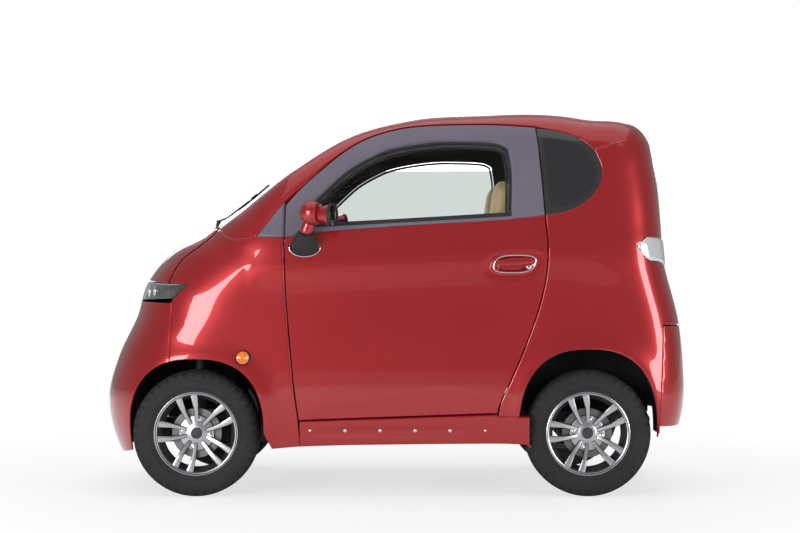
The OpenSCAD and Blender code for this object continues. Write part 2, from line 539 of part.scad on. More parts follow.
module rear_bumper() color("firebrick") {
  near = side_grid([poly(bumper_edge, 2)])[0];
  far = [for (p = near) [p[0], 180 - p[1]]];
  n = 16;
  low = [for (i = [0 : n]) [lerp(-21.5, near[0][0], abs(2 * i / n - 1) ^ 3), lerp(near[0][1], far[0][1], i / n)]];
  top = [for (i = [0 : n]) [lerp(gate_low - 0.35, near[4][0], abs(2 * i / n - 1) ^ 3), lerp(near[4][1], far[4][1], i / n)]];
  g = patch(low, top, near, far);
  sheet(to_skin(g, 0), to_skin(g, skin_t));
}

module tail_lamp() {
  tip = [rear_x + 195, 1002];
  low = chain([side_grid([poly([tip, [rear_x + 240, 946]], 3)])[0], turn_line(on_side([rear_x + 240, 946]), [9.4, 54], 8)]);
  top = chain([side_grid([poly([tip + [2, 8], [rear_x + 235, 1044]], 3)])[0], turn_line(on_side([rear_x + 235, 1044]), [14.6, 54], 8)]);
  g = coons(low, top, turn_line(low[0], top[0], 3), turn_line(low[11], top[11], 3));
  sheet(to_skin(g, -11), to_skin(g, -2.2));
}
module tail_lamps() color("whitesmoke") both_sides() tail_lamp();

marker_at = [front_x + 196, 562];
marker_r = 29;
module side_markers() color("orange") both_sides()
  sheet(to_skin(side_grid([for (r = [marker_r, 19, 10, 1]) round_on(marker_at, r)]), -0.9),
        to_skin(side_grid([for (r = [marker_r - 5, 16, 8, 0.8]) round_on(marker_at, r)]), -10), true);

// Sills under the doors
sill_front = front_x + 416 + seam;
sill_rear = rear_x - 237;
module sill() {
  low = path([[sill_front, 203], [-100, 210], [rear_x - 290, 214], [sill_rear, 196]], 8);
  top = chain([poly([[sill_front, 304], [quarter_foot[0] - 9, 331]], 6), poly([[quarter_foot[0] - 9, 331], [quarter_foot[0], 326 - seam]], 1),
               poly([[quarter_foot[0], 326 - seam], [sill_rear, 323 - seam]], 1)]);
  side_panel(coons(low, top, poly([low[0], top[0]], 2), poly([low[8], top[8]], 2)), 40);
}
module sills() color("maroon") both_sides() sill();

// Inner wheel arches
module liner(axle_x, a, b, inboard, notch, from, foot, deep) {
  line = function (d) concat(from < 180 ? [] : [[axle_x - a - d, foot]], arch(axle_x, a + d, b + d, from, 0, 14),
                             [[axle_x + a + d, foot]]);
  rim = function (p) let (v = p - [core_x, core_z], s = on_side(p + v / norm(v) * (skin_t + 3)))
    [p[0], skin(s[0], s[1], deep)[1], p[1]];
  rows = function (d) [[for (p = line(d)) rim(p)],
                       [for (p = line(d)) [p[0], -(abs(p[0] - axle_x) < 100 ? notch : inboard), p[1]]]];
  sheet(rows(6), rows(3));
}
front_inboard = 322;
rear_inboard = 425;
module wheel_liners() color("dimgray") both_sides() {
  liner(front_x, front_arch_a, front_arch_b, front_inboard - 11.6, half_track - 65, 180, 215, quarter_t + 5);
  liner(rear_x, rear_arch_a, rear_arch_b, rear_inboard, rear_inboard, 162, 262, quarter_t + 4.2);
}

module across(profile, half) {
  rotate([90, 0, 0]) linear_extrude(2 * half, center = true) polygon(profile);
}
function box_profile(x0, x1, z0, z1) = [[x0, z0], [x1, z0], [x1, z1], [x0, z1]];

// Floor with firewall, seat step and luggage floor
pan_t = 6;
pan_half = half_width - 66;
wall_x = front_x + 140;
module floor_pan() color("dimgray") {
  wide_from = front_x + front_arch_a + 12;
  wide_to = rear_x - rear_arch_a - 12;
  across([[wall_x, 1000], [wall_x, 700], [front_x + 250, 420], [wide_from, floor_z], [wide_to, floor_z], [wide_to + 60, 480],
          [tail_x - 150, 480], [tail_x - 150, 480 + pan_t], [wide_to + 55, 480 + pan_t], [wide_to - 5, floor_z + pan_t],
          [wide_from + 4, floor_z + pan_t], [front_x + 256, 420], [wall_x + pan_t, 702], [wall_x + pan_t, 1000]], front_inboard - 12);
  both_sides() translate([0, -260.4, 0]) rotate([90, 0, 0]) linear_extrude(10) hull() {
    translate(hood_axis) circle(r = 8, $fn = 32);
    translate([wall_x + 1, 950]) square([3, 40]);
  }
  both_sides() translate([0, -(front_inboard - 12 + pan_half) / 2, 0])
    across(box_profile(wide_from, wide_to, floor_z, floor_z + pan_t), (pan_half - front_inboard + 12) / 2);
}

rail_y = 240;
rail_w = 40;
rail_top = floor_z;
rail_kick = 130;
eye_r = 11;
pad_x = 400;
module eye_plate(root, eye) {
  difference() {
    rotate([90, 0, 0]) linear_extrude(14, center = true) hull() {
      translate(eye) circle(r = 24, $fn = 32);
      translate(root) square([3, 50]);
    }
    translate([eye[0], 0, eye[1]]) rotate([90, 0, 0]) cylinder(h = 20, r = eye_r, center = true, $fn = 48);
  }
}
module chassis_frame() color("dimgray") {
  low = rail_top - rail_h;
  kick = rear_x - 290;
  side = [[nose_x + 150, low], [kick, low], [kick + 110, low + rail_kick], [tail_x - 150, low + rail_kick],
          [tail_x - 150, rail_top + rail_kick], [kick + 90, rail_top + rail_kick], [kick, rail_top], [nose_x + 150, rail_top]];
  both_sides() translate([0, -rail_y, 0]) across(side, rail_w / 2);
  for (x = [nose_x + 150, front_x + 330, -60, rear_x - 350])
    translate([x, -rail_y, low]) cube([40, 2 * rail_y, rail_h]);
  translate([tail_x - 190, -rail_y, low + rail_kick]) cube([40, 2 * rail_y, rail_h]);
  both_sides() for (x = [-pad_x, pad_x])
    translate([x - 30, -rail_y - 30, low - 8]) cube([60, 60, 8.5]);
  eye_plate([nose_x + 152, low + 5], [nose_x + 125, low - 50]);
  eye_plate([tail_x - 152, low + rail_kick + 5], [tail_x - 110, low + rail_kick - 58]);
}

module battery_box() color("black") {
  translate([20, -420, floor_z + pan_t]) cube([400, 840, 200]);
}

module seat() {
  top = floor_z + pan_t + 200;
  profile = [[-20, top], [-40, top + 50], [0, top + 100], [200, top + 95], [330, top + 110], [362, top + 340], [385, 1100],
             [392, 1220], [415, 1282], [460, 1292], [500, 1270], [512, 1200], [500, 900], [470, 600], [440, top + 20], [410, top]];
  translate([0, -270, 0]) across(path(profile, 44), seat_w / 2);
}
module seats() color("tan") both_sides() seat();

module dashboard() color("tan") {
  across([[wall_x + pan_t + 0.3, 720], [-440, 730], [-385, 840], [-375, 960], [-420, 1010], [-560, 1020], [wall_x + pan_t + 0.3, 998]], 500);
  translate(wheel_at) rotate([0, column_tilt, 0]) translate([0, 0, -290]) cylinder(h = 265.7, r = 26, $fn = 32);
}

wheel_at = [-195, -270, 880];
column_tilt = 62;
module steering_wheel() color("black") translate(wheel_at) rotate([0, column_tilt, 0]) {
  rotate_extrude($fn = 64) translate([steering_wheel_r - 14, 0]) circle(r = 14, $fn = 16);
  translate([0, 0, -24]) cylinder(h = 40, r = 40, $fn = 40);
  for (a = [0, 180, 90]) rotate(a) translate([30, -18, -10]) cube([steering_wheel_r - 42, 36, 12]);
}

// Wheel drawn lying flat with its outer face up, then stood up on its hub
module stand(x, side) translate([x, side * half_track, tyre_r]) rotate([side * -90, 0, 0]) children();
bead = tyre_w / 2 - 8;
module tyre() color("black") rotate_extrude($fn = 72) polygon([
  [rim_r - 14, bead - 8], [rim_r - 9, bead], [rim_r + 1, bead + 2], [rim_r + 18, tyre_w / 2 - 2], [rim_r + 35, tyre_w / 2],
  [rim_r + 55, tyre_w / 2 - 2], [tyre_r - 13, tyre_w / 2 - 7], [tyre_r - 3, tyre_w / 2 - 18], [tyre_r, 30],
  [tyre_r, -30], [tyre_r - 3, -tyre_w / 2 + 18], [tyre_r - 13, -tyre_w / 2 + 7], [rim_r + 55, -tyre_w / 2 + 2],
  [rim_r + 35, -tyre_w / 2], [rim_r + 18, -tyre_w / 2 + 2], [rim_r + 1, -bead - 2], [rim_r - 9, -bead],
  [rim_r - 14, -bead + 8], [rim_r - 14, -bead + 20], [rim_r + 25, -tyre_w / 2 + 14], [tyre_r - 14, -tyre_w / 2 + 22],
  [tyre_r - 12, 0], [tyre_r - 14, tyre_w / 2 - 22], [rim_r + 25, tyre_w / 2 - 14], [rim_r - 14, bead - 20]]);

hub_bore = 17.3;
module rim() color("silver") {
  seat = rim_r - 14.4;
  face = bead - 4;
  rotate_extrude($fn = 72) polygon([
    [rim_r - 1, bead + 2.6], [rim_r - 9.2, bead + 1], [seat - 0.2, bead - 7.8], [seat, 30], [seat - 12, 18], [seat - 12, -20],
    [seat, -34], [seat - 0.2, -bead + 7.8], [rim_r - 9.2, -bead - 1], [rim_r - 1, -bead - 2.6], [rim_r - 4, -bead - 5],
    [seat - 6, -bead + 2], [seat - 6, -36], [seat - 18, -22], [seat - 18, 20], [seat - 6, 34], [seat - 6, bead - 6], [rim_r - 4, bead + 5]]);
  difference() {
    union() {
      translate([0, 0, 20]) cylinder(h = 14, r = 76, $fn = 60);
      for (k = [0 : 4]) for (s = [-1, 1]) rotate(k * 72 + 90) translate([0, s * 22, 0]) rotate(s * 3)
        rotate([90, 0, 0]) linear_extrude(20, center = true)
          polygon([[60, 33], [60, 20], [110, 22], [seat - 12, 30], [seat - 7, 36], [seat - 7, face], [110, face - 8]]);
    }
    translate([0, 0, 19]) cylinder(h = 7, r = hub_bore, $fn = 40);
    for (k = [0 : 3]) rotate(k * 90 + 45) translate([bolt_circle_r, 0, 18]) cylinder(h = 40, r = 11, $fn = 24);
  }
  difference() {
    union() {
      translate([0, 0, 14]) cylinder(h = 6, r = 100, $fn = 60);
      translate([0, 0, 11]) cylinder(h = 10, r = 66, $fn = 60);
    }
    translate([0, 0, 1]) cylinder(h = 21, r = hub_bore, $fn = 40);
  }
}

king_y = half_track - 25;
king_lean = 13.6;
king_low = -74;
king_high = 340;
strut_foot_y = 400;
module on_kingpin() translate([front_x, -king_y, tyre_r]) rotate([-king_lean, 0, 0]) children();
module rod(p, q, r) {
  d = q - p;
  translate(p) rotate([0, acos(d[2] / norm(d)), atan2(d[1], d[0])]) cylinder(h = norm(d), r = r, $fn = 32);
}
module knuckle() color("dimgray") {
  head = [front_x, -king_y + (king_high - 12) * sin(king_lean), tyre_r + (king_high - 12) * cos(king_lean)];
  translate([front_x, -half_track - 25, tyre_r]) rotate([-90, 0, 0]) cylinder(h = 75, r = hub_bore - 0.3, $fn = 40);
  translate([front_x, -half_track + 6, tyre_r]) rotate([-90, 0, 0]) cylinder(h = 60, r = 40, $fn = 40);
  on_kingpin() translate([0, 0, king_low]) cylinder(h = 30, r = 14, $fn = 40);
  translate([front_x - 18, -king_y - 4, tyre_r - 50]) cube([36, 40, 110]);
  translate([front_x - 18, -king_y + 20, tyre_r + 40]) cube([36, king_y - 10 - strut_foot_y, 34]);
  rod([front_x, -strut_foot_y, tyre_r + 44], head, 20);
  on_kingpin() translate([0, 0, king_high - 16]) cylinder(h = 16, r = 18, $fn = 40);
}

module front_suspension() color("dimgray") {
  arm_z = tyre_r - 102;
  both_sides() {
    on_kingpin() translate([0, 0, king_high + 0.4]) cylinder(h = 14, r = 52, $fn = 40);
    translate([front_x - 20, -440, tyre_r + king_high]) cube([wall_x - 0.3 - front_x + 20, 132, 12]);
    on_kingpin() translate([0, 0, king_low - 14.4]) cylinder(h = 14, r = 14, $fn = 40);
    translate([front_x - 20, -king_y - 16, arm_z]) cube([40, king_y + 16 - 260, 19]);
  }
  translate([front_x - 30, -262, arm_z - 2]) cube([60, 524, rail_top - rail_h - arm_z + 1.7]);
}

module rear_axle() color("dimgray") {
  translate([rear_x, 0, tyre_r]) rotate([90, 0, 0]) cylinder(h = 2 * (half_track - 60), r = 28, center = true, $fn = 40);
  translate([rear_x, 0, tyre_r]) rotate([90, 0, 0]) cylinder(h = 2 * (half_track + 25), r = hub_bore - 0.3, center = true, $fn = 40);
  translate([rear_x, 40, tyre_r]) rotate([90, 0, 0]) cylinder(h = 240, r = 95, center = true, $fn = 60);
}

floor_pan();
chassis_frame();
battery_box();
front_suspension();
rear_axle();
front_bumper();
fenders();
windscreen();
cowl();
roof();
corner_trims();
quarter_panels();
quarter_glasses();
rear_bumper();
sills();
headlamps();
tail_lamps();
side_markers();
wheel_liners();
dashboard();
seats();
steering_wheel();
hood();
tailgate();
rear_glass();
door_skin();  // door_skin_left
door_frame();  // door_frame_left
door_glass();  // door_glass_left
door_handle();  // door_handle_left
mirror_arm();  // mirror_left
mirror([0, 1, 0]) door_skin();  // door_skin_right
mirror([0, 1, 0]) door_frame();  // door_frame_right
mirror([0, 1, 0]) door_glass();  // door_glass_right
mirror([0, 1, 0]) door_handle();  // door_handle_right
mirror([0, 1, 0]) mirror_arm();  // mirror_right
knuckle();  // knuckle_left
mirror([0, 1, 0]) knuckle();  // knuckle_right
stand(front_x, -1) tyre();  // tyre_fl
stand(front_x, 1) tyre();  // tyre_fr
stand(rear_x, -1) tyre();  // tyre_rl
stand(rear_x, 1) tyre();  // tyre_rr
stand(front_x, -1) rim();  // rim_fl
stand(front_x, 1) rim();  // rim_fr
stand(rear_x, -1) rim();  // rim_rl
stand(rear_x, 1) rim();  // rim_rr
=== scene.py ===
import math
import bmesh
import bpy
import numpy as np
from mathutils import Matrix, Vector
from mathutils.geometry import delaunay_2d_cdt
from mathutils.kdtree import KDTree


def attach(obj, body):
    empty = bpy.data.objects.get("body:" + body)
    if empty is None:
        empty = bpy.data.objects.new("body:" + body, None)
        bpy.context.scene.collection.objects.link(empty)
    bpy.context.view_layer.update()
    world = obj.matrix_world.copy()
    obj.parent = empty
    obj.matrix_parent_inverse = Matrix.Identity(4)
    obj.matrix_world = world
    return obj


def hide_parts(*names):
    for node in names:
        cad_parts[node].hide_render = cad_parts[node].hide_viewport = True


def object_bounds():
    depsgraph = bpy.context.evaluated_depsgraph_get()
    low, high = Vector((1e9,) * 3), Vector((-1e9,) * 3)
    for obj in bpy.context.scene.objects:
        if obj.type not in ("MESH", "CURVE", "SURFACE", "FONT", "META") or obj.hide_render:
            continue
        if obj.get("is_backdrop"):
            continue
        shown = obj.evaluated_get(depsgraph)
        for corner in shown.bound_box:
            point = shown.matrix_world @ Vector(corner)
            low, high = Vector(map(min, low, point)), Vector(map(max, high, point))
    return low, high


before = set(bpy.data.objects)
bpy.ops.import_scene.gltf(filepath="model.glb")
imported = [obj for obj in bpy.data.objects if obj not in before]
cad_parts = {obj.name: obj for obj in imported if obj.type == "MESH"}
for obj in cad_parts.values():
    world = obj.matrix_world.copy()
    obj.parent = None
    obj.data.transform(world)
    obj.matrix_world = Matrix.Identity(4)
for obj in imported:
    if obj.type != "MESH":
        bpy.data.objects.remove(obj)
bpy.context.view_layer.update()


# ---- Camera
# Level long lens from the car's near side, a little ahead of its middle and at the height of the
# door handle, as in a studio side view.
eye = bpy.data.cameras.new("side_camera")
eye.lens = 78.75
eye.sensor_width = 36
camera = bpy.data.objects.new("side_camera", eye)
camera.location = (0.030, -7.6, 0.924)
camera.rotation_euler = (math.radians(90), 0, 0)
bpy.context.scene.collection.objects.link(camera)
bpy.context.scene.camera = camera
bpy.context.scene.view_settings.view_transform = "Standard"


# ---- Studio
# White sweep under and behind the car, with one large soft box above it and one to each side. The
# sweep looks white to the camera, in glass and in gloss, and gives the car only plain soft light.
class Wire:
    """A socket of a node tree. Sums on it add Math nodes, and node() adds any other node."""

    def __init__(self, tree, socket=None):
        self.tree, self.socket = tree, socket

    def node(self, kind, out=0, settings=None, **values):
        made = self.tree.nodes.new(kind)
        for name, value in (settings or {}).items():
            if name == "stops":
                ramp = made.color_ramp
                while len(ramp.elements) < len(value):
                    ramp.elements.new(0.5)
                for element, (place, shade) in zip(ramp.elements, value):
                    element.position = place
                    element.color = (*shade, 1) if isinstance(shade, tuple) else (shade, shade, shade, 1)
            else:
                setattr(made, name, value)
        for name, value in values.items():
            socket = made.inputs[int(name[1:])] if name[1:].isdigit() else made.inputs[name.replace("_", " ")]
            if isinstance(value, Wire):
                self.tree.links.new(value.socket, socket)
            elif isinstance(value, tuple) and socket.type == "RGBA":
                socket.default_value = (*value, 1)
            else:
                socket.default_value = value
        return Wire(self.tree, made.outputs[out] if made.outputs else None)

    def math(self, operation, *others):
        values = {f"i{k}": v for k, v in enumerate((self,) + others)}
        return self.node("ShaderNodeMath", settings={"operation": operation}, **values)

    def __add__(self, other): return self.math("ADD", other)
    def __mul__(self, other): return self.math("MULTIPLY", other)
    def __sub__(self, other): return self.math("SUBTRACT", other)
    def __truediv__(self, other): return self.math("DIVIDE", other)
    def __rsub__(self, other): return self * -1 + other
    __radd__ = __add__
    __rmul__ = __mul__

    def step(self, low, high):
        """0 below low and 1 above high, with a smooth rise between."""
        settings = {"interpolation_type": "SMOOTHSTEP"}
        return self.node("ShaderNodeMapRange", settings=settings, i0=self, i1=low, i2=high, i3=0.0, i4=1.0)

    def blend(self, first, second):
        """The colour first where this is 0, and second where it is 1."""
        return self.node("ShaderNodeMix", out=2, settings={"data_type": "RGBA"}, i0=self, i6=first, i7=second)

    def bump(self, strength, distance):
        return self.node("ShaderNodeBump", Height=self, Strength=strength, Distance=distance)

    def into(self, name):
        """Feeds this to the named input of the material's shader."""
        shader = self.tree.nodes["Principled BSDF"]
        self.tree.links.new(self.socket, shader.inputs[name])


world = bpy.data.worlds.new("white_studio")
bpy.context.scene.world = world
world.use_nodes = True
world.node_tree.nodes.clear()
air = Wire(world.node_tree)
seen = (air.node("ShaderNodeLightPath", out=0) + air.node("ShaderNodeLightPath", out=6)).math("MINIMUM", 1.0)
gloss = air.node("ShaderNodeLightPath", out=3) * 0.26
glow = air.node("ShaderNodeBackground", Color=(1.0, 1.0, 1.0), Strength=seen * 0.50 - gloss + 0.50)
air.node("ShaderNodeOutputWorld", Surface=glow)

floor = bpy.data.objects.new("studio_floor", bpy.data.meshes.new("studio_floor"))
floor.data.from_pydata([(-30, -30, 0), (30, -30, 0), (30, 30, 0), (-30, 30, 0)], [], [(0, 1, 2, 3)])
bpy.context.scene.collection.objects.link(floor)
ground = bpy.data.materials.new("white_sweep")
ground.use_nodes = True
ground.node_tree.nodes.clear()
lit = Wire(ground.node_tree)
seen = (lit.node("ShaderNodeLightPath", out=0) + lit.node("ShaderNodeLightPath", out=6)).math("MINIMUM", 1.0)
place = lit.node("ShaderNodeNewGeometry", out=0)
away = lit.node("ShaderNodeVectorMath", out=1, settings={"operation": "LENGTH"}, i0=place).step(1.7, 3.0)
matt = lit.node("ShaderNodeBsdfDiffuse", Color=(0.9, 0.9, 0.9))
white = lit.node("ShaderNodeEmission", Color=(1.0, 1.0, 1.0), Strength=1.0)
shown = lit.node("ShaderNodeMixShader", i0=seen * (away * 0.3 + 0.7), i1=matt, i2=white)
lit.node("ShaderNodeOutputMaterial", Surface=shown)
floor.data.materials.append(ground)
floor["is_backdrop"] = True


def soft_box(name, place, aim, wide, high, watts):
    box = bpy.data.lights.new(name, "AREA")
    box.shape, box.size, box.size_y, box.energy = "RECTANGLE", wide, high, watts
    holder = bpy.data.objects.new(name, box)
    holder.location = place
    holder.rotation_euler = (Vector(aim) - Vector(place)).to_track_quat("-Z", "Y").to_euler()
    bpy.context.scene.collection.objects.link(holder)


soft_box("box_overhead", (0, -0.3, 4.6), (0, 0, 0), 6.5, 5.5, 70)
soft_box("box_near_front", (-3.3, -4.7, 1.5), (-0.4, 0, 0.9), 2.2, 2.2, 150)
soft_box("box_near_rear", (4.3, -3.6, 1.4), (0.6, 0, 0.9), 1.5, 2.2, 90)
soft_box("box_far", (0, 4.8, 3.0), (0, 0, 0.8), 5.0, 3.0, 130)


# ---- Painted shell: shape
# The body is one closed cushion round a core line, drawn by its outline in the side view, its width
# by height and its rounding into the centre; every panel and pane is cut out of that one skin. mm.
NOSE, TAIL, FRONT, REAR, ROOF, TYRE = -1200, 1200, -788, 784, 1575, 254
CORE = np.array([30, 750])
OUTLINE = [[NOSE + 300, -160], [NOSE + 50, 160], [NOSE, 370], [NOSE + 40, 545], [NOSE + 115, 710], [NOSE + 158, 855],
           [NOSE + 265, 985], [NOSE + 420, 1075], [NOSE + 600, 1195], [NOSE + 810, ROOF - 222],
           [NOSE + 1030, ROOF - 90],
           [NOSE + 1300, ROOF - 15], [NOSE + 1600, ROOF], [TAIL - 400, ROOF - 19], [TAIL - 215, ROOF - 40],
           [TAIL - 138, ROOF - 107], [TAIL - 108, 1340], [TAIL - 84, 1100], [TAIL - 72, 930], [TAIL - 13, 680],
           [TAIL, 520], [TAIL - 10, 300], [TAIL - 200, -60]]
SIDE_INSET = [[-200, 90], [150, 42], [230, 26], [330, 9], [430, 0], [600, 3], [800, 11], [930, 13], [1010, 20],
              [1090, 36], [1200, 54], [1350, 78], [1500, 104], [1700, 140]]
ROUND_FROM = [[-90, 0.9], [-30, 0.75], [0, 0.72], [30, 0.72], [60, 0.72], [90, 0.72], [125, 0.73], [150, 0.62],
              [165, 0.52], [180, 0.56], [193, 0.60], [210, 0.60], [270, 0.9]]
ROUND_POWER = [[-90, 4], [-30, 5], [0, 4.5], [30, 4.2], [60, 3.8], [90, 3.5], [125, 5], [150, 3.6], [165, 2.8],
               [180, 2.9], [193, 3.0], [210, 3.2], [270, 4]]
CREASE = [[FRONT + 200, 905], [FRONT + 500, 936], [FRONT + 1250, 985], [REAR - 60, 990], [REAR + 60, 965],
          [REAR + 190, 900]]
FRONT_ARCH = (FRONT, 274, 301)
REAR_ARCH = (REAR, 280, 340)


def through(knots, x):
    """Smooth line through the knots, read at x, level beyond its ends."""
    k = np.array(knots, float)
    x = np.asarray(x, float)
    i = np.clip(np.searchsorted(k[:, 0], x, side="right") - 1, 0, len(k) - 2)
    low = np.maximum(np.arange(len(k)) - 1, 0)
    high = np.minimum(np.arange(len(k)) + 1, len(k) - 1)
    slope = (k[high, 1] - k[low, 1]) / (k[high, 0] - k[low, 0])
    h = k[i + 1, 0] - k[i, 0]
    t = np.clip((x - k[i, 0]) / h, 0, 1)
    return ((2 * t**3 - 3 * t**2 + 1) * k[i, 1] + (t**3 - 2 * t**2 + t) * h * slope[i]
            + (3 * t**2 - 2 * t**3) * k[i + 1, 1] + (t**3 - t**2) * h * slope[i + 1])


def heading(x, z):
    a = np.degrees(np.arctan2(np.asarray(z) - CORE[1], np.asarray(x) - CORE[0]))
    return np.where(a < -90, a + 360, a)


REACH = [[float(heading(x, z)), math.hypot(x - CORE[0], z - CORE[1])] for x, z in reversed(OUTLINE)]


def swell(x, z, arch):
    """Outward flare of the side round a wheel arch."""
    n = (np.abs((x - arch[0]) / arch[1]) ** 2.5 + (np.maximum(z - TYRE, 0) / arch[2]) ** 2.5) ** 0.4
    return 12 * np.exp(-((np.maximum(n - 1, 0) * arch[1] / 42) ** 2))


def half_width(x, z):
    """Half of the body's width at a point of the side view, with the crease and the arches' flares."""
    d = z - through(CREASE, x)
    ends = np.clip((x - FRONT - 200) / 150, 0, 1) * np.clip((REAR + 170 - x) / 160, 0, 1)
    crease = 7 * ends * np.exp(-((d / np.where(d > 0, 30, 70)) ** 2))
    return 632 - through(SIDE_INSET, z) + crease + swell(x, z, FRONT_ARCH) + swell(x, z, REAR_ARCH)


def skin(th, turn, depth=0.0):
    """Points of the skin: th goes round the side view, turn from the near side over the edge to the far side."""
    th, turn = np.broadcast_arrays(np.asarray(th, float), np.asarray(turn, float))
    side = np.where(turn > 90, 1, -1)
    s = np.where(turn > 90, 180 - turn, turn)
    start, power = through(ROUND_FROM, th), through(ROUND_POWER, th)
    r = np.radians(np.clip(s, 0, 90))
    edge = (np.sin(r) ** power + np.cos(r) ** power) ** (1 / power)
    out = np.where(s <= 0, np.radians(s), np.sin(r) / edge)
    share = start + (1 - start) * out
    across = np.where(s <= 0, 1, np.cos(r) / edge)
    ray = np.stack([np.cos(np.radians(th)), np.sin(np.radians(th))], -1)
    far = through(REACH, th)
    outer = CORE + (share * far)[..., None] * ray
    inner = CORE + (share * (far - depth))[..., None] * ray
    y = side * across * (half_width(outer[..., 0], outer[..., 1]) - depth)
    return np.stack([inner[..., 0], y, inner[..., 1]], -1)


def on_side(points):
    """Direction and turn of side-view points [x, z] on the near side."""
    p = np.asarray(points, float)
    th = heading(p[..., 0], p[..., 1])
    start, power = through(ROUND_FROM, th), through(ROUND_POWER, th)
    share = np.minimum(np.hypot(p[..., 0] - CORE[0], p[..., 1] - CORE[1]) / through(REACH, th), 0.9999)
    out = (share - start) / (1 - start)
    o = np.clip(out, 0, 1)
    turn = np.where(out <= 0, np.degrees(out), np.degrees(np.arctan2(o, (1 - o**power) ** (1 / power))))
    return np.stack([th, turn], -1)


def arc(points, n):
    """Smooth line through side-view points, n steps."""
    p = np.array(points, float)
    last = len(p) - 1
    rows = []
    for k in range(n + 1):
        s = k / n * last
        i = min(int(s), last - 1)
        t = s - i
        a, b, c, d = p[max(i - 1, 0)], p[i], p[i + 1], p[min(i + 2, last)]
        rows.append(0.5 * (2 * b + (c - a) * t + (2 * a - 5 * b + 4 * c - d) * t**2 + (3 * b - a - 3 * c + d) * t**3))
    return np.array(rows)


def straight(points, n=12):
    p = np.array(points, float)
    return np.array([p[i] + (p[i + 1] - p[i]) * k / n for i in range(len(p) - 1) for k in range(n)] + [p[-1]])


def joined(*lines):
    """Lines end to end, without the doubled points between them."""
    rows = [lines[0][0]]
    for p in np.concatenate(lines):
        if np.hypot(*(p - rows[-1])) > 1e-6:
            rows.append(p)
    if np.hypot(*(rows[0] - rows[-1])) < 1e-6:
        rows.pop()
    return np.array(rows)


def arch_line(arch, start, end, n, grow=0.0):
    a = np.radians(np.linspace(start, end, n + 1))
    x = arch[0] + (arch[1] + grow) * np.sign(np.cos(a)) * np.abs(np.cos(a)) ** 0.8
    return np.stack([x, TYRE + (arch[2] + grow) * np.abs(np.sin(a)) ** 0.8], -1)


def inside(p, loops):
    hit = np.zeros(len(p), bool)
    for loop in loops:
        for (x0, y0), (x1, y1) in zip(loop, np.roll(loop, -1, 0)):
            if y0 != y1:
                hit ^= ((y0 > p[:, 1]) != (y1 > p[:, 1])) & (p[:, 0] < (x1 - x0) * (p[:, 1] - y0) / (y1 - y0) + x0)
    return hit


def lay(uv, flat, depth):
    """Points in space of a sheet's own points: [x, z] of the near side's view, or [direction, turn]."""
    spot = on_side(uv) if flat else uv
    return skin(spot[:, 0], spot[:, 1], depth)


def add_piece(name, verts, faces, body, looks, stands_for=(), marks=None, sharp=38):
    """A mesh object from points in mm, riding on a body and standing for CAD nodes."""
    mesh = bpy.data.meshes.new(name)
    mesh.from_pydata((np.asarray(verts) / 1000).tolist(), [], faces)
    for look in looks if isinstance(looks, (list, tuple)) else [looks]:
        mesh.materials.append(look)
    if marks is not None:
        mesh.polygons.foreach_set("material_index", np.asarray(marks, np.int32))
    mesh.shade_smooth()
    mesh.set_sharp_from_angle(angle=math.radians(sharp))
    mesh.validate()
    thing = bpy.data.objects.new(name, mesh)
    bpy.context.scene.collection.objects.link(thing)
    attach(thing, body)
    if stands_for:
        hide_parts(*stands_for)
    return thing


